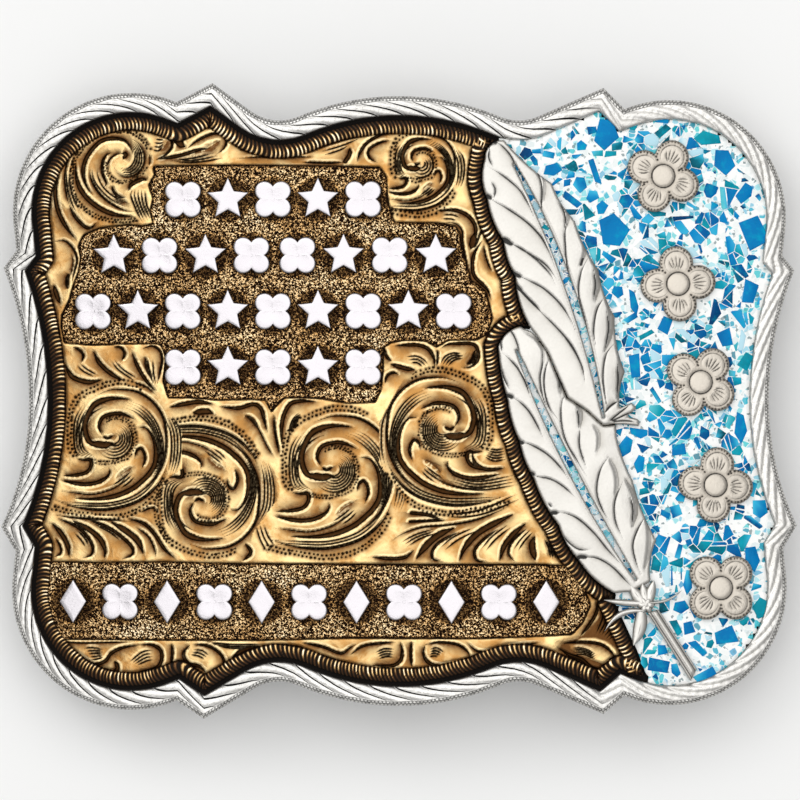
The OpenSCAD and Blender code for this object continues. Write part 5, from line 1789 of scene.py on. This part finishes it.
@dataclass
class Ornaments:
    """The rows of small raised silver ornaments."""

    shop: Shop
    size: float = 5.6
    # Rings of the bevelled edge and the crown: share of the edge, height, darkness of the painted shade at the foot of
    # the edge
    steps: tuple[tuple[float, ...], ...] = (
        (1.0, GROUND_H + 0.06, 1.0), (1.0, ORNAMENT_TOP - 0.22, 1.0), (0.985, ORNAMENT_TOP - 0.10, 0.5),
        (0.95, ORNAMENT_TOP - 0.03, 0.12), (0.90, ORNAMENT_TOP, 0.0), (0.6, ORNAMENT_TOP, 0.0),
        (0.3, ORNAMENT_TOP, 0.0), (0.08, ORNAMENT_TOP, 0.0),
    )

    def make(self) -> None:
        """Builds every ornament of every row."""
        for name, x, y, width, count in ROWS:
            for k in range(count):
                middle = x + width * ((k + 0.5) / count - 0.5)
                odd = math.floor(abs(k + 1 - (count + 1) / 2)) % 2
                form = Form.FLOWER if not odd else (Form.LOZENGE if name == "bottom_row" else Form.STAR)
                self._one(f"{name}_{k + 1}", form, middle, y)

    def _edge(self, form: Form, a: np.ndarray) -> np.ndarray:
        """Distance of the edge from the middle, at angles in radians."""
        half = self.size / 2
        if form is Form.STAR:
            step = 2 * np.pi / 5
            turn = (a - np.pi / 2) % step
            turn = np.minimum(turn, step - turn)
            p, q = np.array([half, 0]), 0.48 * half * axes(step / 2)[0]
            n = np.array([q[1] - p[1], p[0] - q[0]])
            return (n @ p) / (n[0] * np.cos(turn) + n[1] * np.sin(turn))
        if form is Form.LOZENGE:
            return 1.0 / (np.abs(np.cos(a)) / (0.62 * half) + np.abs(np.sin(a)) / half)
        best = np.full(a.shape, 0.2 * self.size)
        for k in range(4):
            c = 0.27 * self.size * axes(math.pi / 4 + k * math.pi / 2)[0]
            along = c[0] * np.cos(a) + c[1] * np.sin(a)
            rest = along**2 - (c @ c - (0.22 * self.size) ** 2)
            best = np.where(rest > 0, np.maximum(best, along + np.sqrt(np.maximum(rest, 0))), best)
        return best

    def _one(self, node: str, form: Form, x: float, y: float) -> None:
        """Builds one ornament with a bevelled edge and a shallow crown."""
        a = np.radians(np.arange(0, 360, 3.0))
        edge = self._edge(form, a)
        rows = []
        for share, h, _ in self.steps:
            dish = 0.10 if form is Form.FLOWER and share < 0.5 else 0.0
            r = edge * share
            rows.append(np.column_stack([x + r * np.cos(a), y + r * np.sin(a), np.full(len(a), h - dish)]))
        # the dark outer rings are painted shade where the ornament meets the ground
        cut = np.array([dark for *_, dark in self.steps])[:, None]
        clay = Clay()
        clay.grid(closed(np.stack(rows))[::-1], cut=cut[::-1])
        r = edge * self.steps[-1][0]
        cap = np.column_stack([x + r * np.cos(a), y + r * np.sin(a), np.full(len(a), ORNAMENT_TOP)])
        clay.add(cap, [np.arange(len(a))[None, :]], cut=0.0)
        self.shop.hand_over(clay, node + "_silver", self.shop.finishes.polished, "polished_silver", node)


@dataclass
class Plaques:
    """The engraved flower plaques with milled edges on the inlay."""

    shop: Shop
    size: float = 9.8
    pitch: float = 0.14

    def make(self) -> None:
        """Builds the five plaques."""
        for k, (x, y, turn) in enumerate(PLAQUES):
            self._one(f"plaque_{k + 1}", x, y, turn)

    def _one(self, node: str, x: float, y: float, turn: float) -> None:
        """Builds one plaque: four engraved petals round a raised heart."""
        d, middle = self.size, np.array([x, y])
        relief = Relief(middle - d / 2 - 0.4, middle + d / 2 + 0.4, self.pitch)
        heart = np.hypot(relief.x - x, relief.y - y)
        far = heart - 0.2 * d
        turns = [math.radians(45 + 90 * k + turn) for k in range(4)]
        for a in turns:
            c = middle + 0.27 * d * axes(a)[0]
            far = np.minimum(far, np.hypot(relief.x - c[0], relief.y - c[1]) - 0.22 * d)
        relief.field = far
        rng = self.shop.chance(40)
        for a in turns:
            ahead, side = axes(a)
            c = middle + 0.27 * d * ahead
            ring = [c + 0.155 * d * axes(a + t)[0] for t in np.linspace(-2.5, 2.5, 12)]
            relief.carve(Cut(ring, 0.12, 0.4, reach=0.35, dark=0.6), 0.1)
            dots = [c + 0.196 * d * axes(a + t)[0] for t in np.linspace(-2.2, 2.2, 24)]
            relief.punch(Dots(dots, 0.84, 0.12, 0.0), rng, 0.08)
            for lean in (-0.5, -0.25, 0.0, 0.25, 0.5):
                foot, tip = middle + 0.19 * d * axes(a + lean * 0.4)[0], c + 0.11 * d * axes(a + lean * 2.2)[0]
                ray = (foot, (foot + tip) / 2 + side * lean * 0.2, tip)
                relief.carve(Cut(ray, 0.12, 0.3, reach=0.25, dark=0.7), 0.1)
        ring = [middle + 0.15 * d * axes(t)[0] for t in np.linspace(0, 2 * math.pi, 25)]
        relief.carve(Cut(ring, 0.16, 0.5, 0, 0.3, 0.85, Taper.NONE), 0.14)
        bevel, crown = 1 - unit(-far / 0.25), unit(heart / (0.5 * d)) ** 2
        top = PLAQUE_TOP - relief.drop - 0.16 * bevel - 0.10 * crown
        top = np.where(heart < 0.12 * d, np.minimum(PLAQUE_TOP, top), top - 0.02)
        relief.darken(0.25 * unit(1 + far / 0.3))
        clay = Clay()
        relief.shell(clay, top, INLAY_H + 0.06)
        self.shop.hand_over(clay, node + "_silver", self.shop.finishes.milled, "engraved_silver", node)


# Large chips: middle x, y, half width, half height, turn, hue, light
LARGE_CHIPS = (
    (26.3, 33.9, 1.35, 1.7, 5, 0.1, 0.62), (24.4, 34.4, 0.7, 0.5, 10, 0.1, 0.35),
    (27.2, 21.7, 1.75, 1.75, 38, 0.1, 0.62), (23.0, 27.5, 0.75, 0.9, 0, 0.1, 0.6),
    (24.9, 29.2, 0.45, 1.7, 20, 0.1, 0.58), (22.0, 25.6, 1.3, 0.55, -38, 0.1, 0.45),
    (24.6, 26.0, 0.7, 0.7, 0, 0.3, 0.75), (25.8, 24.6, 0.6, 0.8, -30, 0.1, 0.7),
    (19.5, 29.4, 1.1, 0.65, 15, 0.1, 0.6), (17.5, 31.7, 0.6, 0.35, 0, 0.1, 0.62),
    (19.0, 31.3, 0.75, 0.5, -10, 0.1, 0.6), (23.2, 32.4, 0.55, 0.65, -30, 0.1, 0.7),
    (25.4, 31.5, 0.9, 0.35, 0, 0.8, 0.8), (26.8, 31.4, 0.8, 0.4, 8, 0.8, 0.6),
    (26.8, 18.2, 1.1, 0.4, -38, 0.1, 0.72), (27.8, 13.9, 0.65, 0.7, 0, 0.1, 0.6),
    (29.8, 12.6, 0.45, 1.45, 14, 0.1, 0.55), (29.5, 10.6, 1.0, 0.4, 30, 0.1, 0.5),
    (30.0, 4.6, 0.75, 1.6, 4, 0.1, 0.66), (32.6, 0.8, 0.3, 1.2, 32, 0.1, 0.35), (31.4, 8.4, 1.2, 0.3, 28, 0.8, 0.55),
    (28.8, -5.8, 0.7, 1.2, -20, 0.1, 0.65), (30.6, -8.0, 0.6, 1.0, -10, 0.1, 0.72),
    (31.2, -11.5, 0.8, 0.4, 15, 0.8, 0.5), (35.2, -14.0, 0.75, 0.8, 8, 0.1, 0.5),
    (33.9, -14.4, 0.9, 0.35, -30, 0.1, 0.55), (35.6, -19.2, 0.4, 1.0, -14, 0.1, 0.5),
    (36.8, -23.0, 0.5, 1.4, -4, 0.1, 0.68), (35.9, -26.2, 0.9, 0.7, 10, 0.1, 0.5),
    (37.8, -26.6, 0.6, 0.9, 0, 0.1, 0.62), (35.2, -28.8, 0.6, 1.0, 30, 0.8, 0.42),
    (36.9, -29.0, 0.7, 0.9, 10, 0.1, 0.5), (38.0, -31.4, 1.3, 0.5, -40, 0.1, 0.6),
    (33.0, -33.6, 1.3, 1.1, -12, 0.1, 0.42), (35.2, -34.2, 0.5, 0.8, 20, 0.1, 0.62),
    (33.4, -31.7, 0.8, 0.6, 0, 0.1, 0.7), (31.2, -33.2, 0.4, 0.7, 10, 0.8, 0.6),
    (45.2, 21.4, 1.8, 1.9, 20, 0.1, 0.6), (44.6, 14.0, 1.1, 1.4, -10, 0.1, 0.58),
    (43.5, -3.4, 0.7, 1.7, 6, 0.1, 0.6), (40.5, -12.4, 0.9, 1.4, 0, 0.1, 0.55),
    (46.0, -13.6, 0.9, 1.1, 15, 0.1, 0.6), (41.8, -30.0, 1.4, 1.2, 12, 0.1, 0.55),
    (39.0, -35.0, 1.4, 0.9, 25, 0.1, 0.6), (41.4, 30.5, 1.1, 1.5, 25, 0.1, 0.6),
    (39.3, 33.4, 1.5, 0.8, -10, 0.8, 0.6), (33.5, 36.0, 1.2, 0.6, -5, 0.1, 0.6),
    (29.5, 35.2, 1.0, 0.6, -20, 0.8, 0.65), (44.0, 26.5, 1.2, 0.8, 60, 0.1, 0.6),
    (41.6, 8.2, 0.9, 1.2, 20, 0.1, 0.55), (44.2, 5.0, 0.8, 1.1, -30, 0.8, 0.55),
    (33.9, 9.6, 0.8, 1.1, -20, 0.1, 0.6), (35.6, -6.2, 1.0, 0.8, 10, 0.1, 0.6),
    (45.0, -20.0, 0.8, 1.5, 10, 0.1, 0.6), (46.3, -26.4, 1.0, 1.2, -20, 0.8, 0.55),
)


@dataclass
class StoneInlay:
    """Crushed blue stone set in pale resin."""

    shop: Shop
    pitch: float = 0.45
    bare: float = 0.33
    tries: int = 9000
    neighbours: int = 15
    joint: float = 0.045
    clearance: float = 0.12
    plaque_r: float = 2.2

    def make(self) -> None:
        """Builds the resin and the chips in it."""
        o = self.shop.outline
        edge, panel = o.inset(BORDER_W + FIT), o.panel()
        relief = Relief((10, -40), (52, 40), self.pitch)
        outer, side = relief.distance(edge, 1), relief.distance(panel, 1)
        by_rope = np.where(outer > -0.6, PANEL_GAP + 0.05, 2 * FIT)
        relief.field = np.maximum(outer - FIT + 0.03, by_rope - side)
        relief.field = np.maximum(relief.field, 0.2 - relief.distance(BETWEEN, 1))
        clay = Clay()
        relief.shell(clay, np.full(relief.x.shape, INLAY_H - 0.05), OVERLAY_H)
        self.shop.hand_over(clay, "stone_resin", self.shop.finishes.resin, "crushed_stone", "stone_inlay")
        self._chips(edge, panel)

    def _chips(self, edge: np.ndarray, panel: np.ndarray) -> None:
        """Builds the chips: large ones as listed, and shards of a cracked field between them."""
        rng = self.shop.chance(60)
        clay = Clay()
        taken = []
        for x, y, w, h, turn, hue, light in LARGE_CHIPS:
            n = int(rng.integers(4, 6))
            a = np.pi / 4 + (np.arange(n) + rng.uniform(-0.2, 0.2, n)) * 2 * np.pi / n
            flat = 1.25 * np.column_stack([w * np.cos(a), h * np.sin(a)])
            shape = (x, y) + flat @ np.array(axes(math.radians(turn)))
            self._chip(clay, rng, shape, hue, light, 0.0)
            taken.append(shape)
        quills = self._quills()
        for shard in self._field(rng, edge, panel, taken):
            x, y = shard.mean(0)
            drift = 0.5 + 0.25 * (math.sin(0.9 * x + 0.35 * y) + math.sin(0.55 * x - 0.8 * y + 1.7))
            slot = np.hypot(*(quills - (x, y)).T).min() < 0.9
            if rng.random() < (0.4 if slot else self.bare * (0.3 + 1.5 * drift)):
                continue
            pale = 0.75 if rng.random() < (0.6 if slot else 0.14) else 0.0
            self._chip(clay, rng, shard, rng.random(), float(unit(rng.normal(0.5, 0.26))), pale)
        self.shop.hand_over(clay, "stone_chips", self.shop.finishes.stone, "crushed_stone")

    def _field(
        self, rng: np.random.Generator, edge: np.ndarray, panel: np.ndarray, taken: list[np.ndarray]
    ) -> list[np.ndarray]:
        """Cells round random seeds, each cracked into shards that clear everything else.

        Args:
            rng: Source of chance.
            edge: The inlay's outer edge.
            panel: The bronze panel's edge.
            taken: The large chips' outlines.

        Returns:
            The shards' outlines.
        """
        quills = self._quills()
        spots = rng.uniform((11, -39), (51, 39), (self.tries, 2))
        slot = np.sqrt(((spots[:, None] - quills[None]) ** 2).sum(-1)).min(1)
        size = np.where(slot < 1.3, 0.2, 0.32 + 0.74 * rng.random(len(spots)) ** 1.5)
        seeds = np.zeros((0, 3))
        for spot, r in zip(spots, size):
            if not len(seeds) or (np.hypot(*(seeds[:, :2] - spot).T) > seeds[:, 2] + r).all():
                seeds = np.vstack([seeds, [*spot, r]])
        shards = []
        for x, y, r in seeds:
            cell = (x, y) + 3 * np.array([[-1, -1], [1, -1], [1, 1], [-1, 1]])
            gap = seeds[:, :2] - (x, y)
            far = np.hypot(*gap.T)
            for k in np.argsort(far)[1 : self.neighbours + 1]:
                n = gap[k] / far[k]
                cell = clip(cell, (x, y) + n * (far[k] * r / (r + seeds[k, 2]) - self.joint), n)
            shards += self._crack(rng, cell, r)
        shards = [s for s in shards if len(s) > 2]
        ends = np.cumsum([len(s) for s in shards])
        px, py = np.vstack(shards).T
        clear = signed_distance(edge, px, py) < -self.clearance
        clear &= signed_distance(panel, px, py) > 2 * FIT + self.clearance
        clear &= signed_distance(BETWEEN, px, py) > 0.4
        for x, y, _ in PLAQUES:
            clear &= np.hypot(px - x, py - y) > self.plaque_r
        for shape in taken:
            clear &= signed_distance(shape, px, py) > 0.05
        kept = [s for s, e in zip(shards, ends) if clear[e - len(s) : e].all() and area(s) > 0.02]
        middles = np.array([s.mean(0) for s in kept])
        over = np.zeros(len(kept), bool)
        for shape in taken:
            over |= signed_distance(shape, middles[:, 0], middles[:, 1]) < 0.1
            corner = shape[:, None] - middles[None]
            over |= (np.hypot(corner[..., 0], corner[..., 1]) < 0.25).any(0)
        LOG.info("%d shards", int((~over).sum()))
        return [s for s, hit in zip(kept, over) if not hit]

    def _quills(self) -> np.ndarray:
        """Points along both quills."""
        return np.vstack([resample(bulged(np.array(a), np.array(b), c), 0.4) for a, b, c in (LONG_QUILL, SHORT_QUILL)])

    def _crack(self, rng: np.random.Generator, cell: np.ndarray, r: float) -> list[np.ndarray]:
        """Splits a cell along random lines."""
        parts = [cell]
        for _ in range(int(rng.integers(0, 3)) + (r > 0.6)):
            big = max(range(len(parts)), key=lambda k: area(parts[k]))
            part = parts.pop(big)
            if len(part) < 3:
                continue
            n = axes(rng.uniform(0, 2 * np.pi))[0]
            at = part.mean(0) + rng.uniform(-0.3, 0.3) * r * n
            gap = rng.uniform(0.03, 0.11)
            parts += [clip(part, at - n * gap, n), clip(part, at + n * gap, -n)]
        return parts

    def _chip(
        self, clay: Clay, rng: np.random.Generator, shape: np.ndarray, hue: float, light: float, pale: float
    ) -> None:
        """Adds one chip: a flat-topped stone with bevelled edges, its tone running out to one side."""
        n = len(shape)
        middle = shape.mean(0)
        rings = ((1.0, INLAY_H - 0.08), (1.0, INLAY_H - 0.03), (0.90, INLAY_H))
        points = np.vstack([np.column_stack([middle + (shape - middle) * share, np.full(n, h)]) for share, h in rings])
        run = (points[:, :2] - middle) @ axes(rng.uniform(0, 2 * np.pi))[0]
        run = run / max(1e-6, np.abs(run).max())
        fade = 0.22 * rng.random()
        milk = unit(pale + (0.55 * unit(run) if rng.random() < 0.3 else 0.0))
        i = np.arange(n)
        j = (i + 1) % n
        sides = [np.column_stack([i + k * n, j + k * n, j + (k + 1) * n, i + (k + 1) * n]) for k in (0, 1)]
        clay.add(points, [*sides, (i + 2 * n)[None, :]], hue=hue, light=unit(light + fade * run), pale=milk)


@dataclass
class Back:
    """The plate, the strap loop and the stud, which keep their CAD shapes."""

    shop: Shop

    def make(self, nodes: dict[str, bpy.types.Object]) -> None:
        """Dresses the CAD nodes in plain silver."""
        for name in ("base_plate", "belt_loop", "hook_post"):
            piece = nodes[name]
            piece.data.materials.clear()
            piece.data.materials.append(self.shop.finishes.plain)
            LOG.info("%s dressed", name)


@dataclass
class Studio:
    """Pale floor, soft lights and the camera straight above."""

    camera_z: float = 0.9
    plane_z: float = 0.0085
    view_width: float = 0.1021
    sensor: float = 36.0
    floor_half: float = 1.6
    flat_r: float = 1.1
    centre: tuple[float, float] = (0.00013, 0.00013)
    dome: float = 0.85

    def make(self) -> None:
        """Builds the floor, the lights, the world and the camera."""
        self._floor()
        self._light("key", (0.05, 0.25, 1.2), 1.5, 8.0)
        self._light("fill", (-0.6, 0.5, 0.8), 0.5, 1.6)
        self._world()
        self._camera()

    def _floor(self) -> None:
        """A wide plane that rolls up at its far edge."""
        t = np.linspace(-1, 1, 24) * self.floor_half
        x, y = np.meshgrid(t, t)
        z = np.maximum(0, np.hypot(x, y) - self.flat_r) ** 2 * 0.25
        clay = Clay()
        clay.grid(np.stack([x, y, z], -1).transpose(1, 0, 2) / MM)
        floor = clay.build("floor", None, Sheet().material())

    def _light(self, name: str, at: tuple[float, float, float], size: float, power: float) -> None:
        """One square area light that looks at the buckle."""
        data = bpy.data.lights.new(name, "AREA")
        data.shape, data.size, data.energy = "SQUARE", size, power
        lamp = shown(name, data)
        lamp.location = at
        lamp.rotation_euler = (-Vector(at)).to_track_quat("-Z", "Y").to_euler()

    def _world(self) -> None:
        """A soft dome, bright overhead and dim towards the horizon, shown without a film curve."""
        world = bpy.data.worlds.new("studio")
        world.use_nodes = True
        tree = world.node_tree
        place = tree.nodes.new("ShaderNodeTexCoord")
        parts = tree.nodes.new("ShaderNodeSeparateXYZ")
        ramp = tree.nodes.new("ShaderNodeValToRGB")
        low, high = ramp.color_ramp.elements
        low.position, low.color = 0.05, (0.23, 0.23, 0.235, 1.0)
        high.position, high.color = 0.95, (0.9, 0.9, 0.9, 1.0)
        tree.links.new(place.outputs["Generated"], parts.inputs[0])
        tree.links.new(parts.outputs[2], ramp.inputs["Fac"])
        tree.links.new(ramp.outputs["Color"], tree.nodes["Background"].inputs["Color"])
        tree.nodes["Background"].inputs["Strength"].default_value = self.dome
        bpy.context.scene.world = world
        bpy.context.scene.view_settings.view_transform = "Standard"

    def _camera(self) -> None:
        """A long lens that looks straight down."""
        data = bpy.data.cameras.new("camera")
        data.sensor_width = self.sensor
        data.lens = self.sensor * (self.camera_z - self.plane_z) / self.view_width
        data.clip_start, data.clip_end = 0.01, 10.0
        camera = shown("camera", data)
        camera.location = (*self.centre, self.camera_z)
        bpy.context.scene.camera = camera


def main() -> None:
    """Builds the buckle's looks in order."""
    logging.basicConfig(level=logging.INFO, format="%(name)s: %(message)s")
    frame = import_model()
    shop = Shop(Bend(), Outline(), Finishes())
    Studio().make()
    Back(shop).make(frame["nodes"])
    RopeBorder(shop).make()
    BronzePanel(shop).make()
    Feather(shop, "feather_long", LONG_LEFT, LONG_RIGHT, LONG_QUILL, LONG_BARBS).make()
    Feather(shop, "feather_short", SHORT_LEFT, SHORT_RIGHT, SHORT_QUILL, SHORT_BARBS).make()
    FeatherTie(shop).make()
    Ornaments(shop).make()
    Plaques(shop).make()
    StoneInlay(shop).make()


if __name__ == "__main__":
    main()
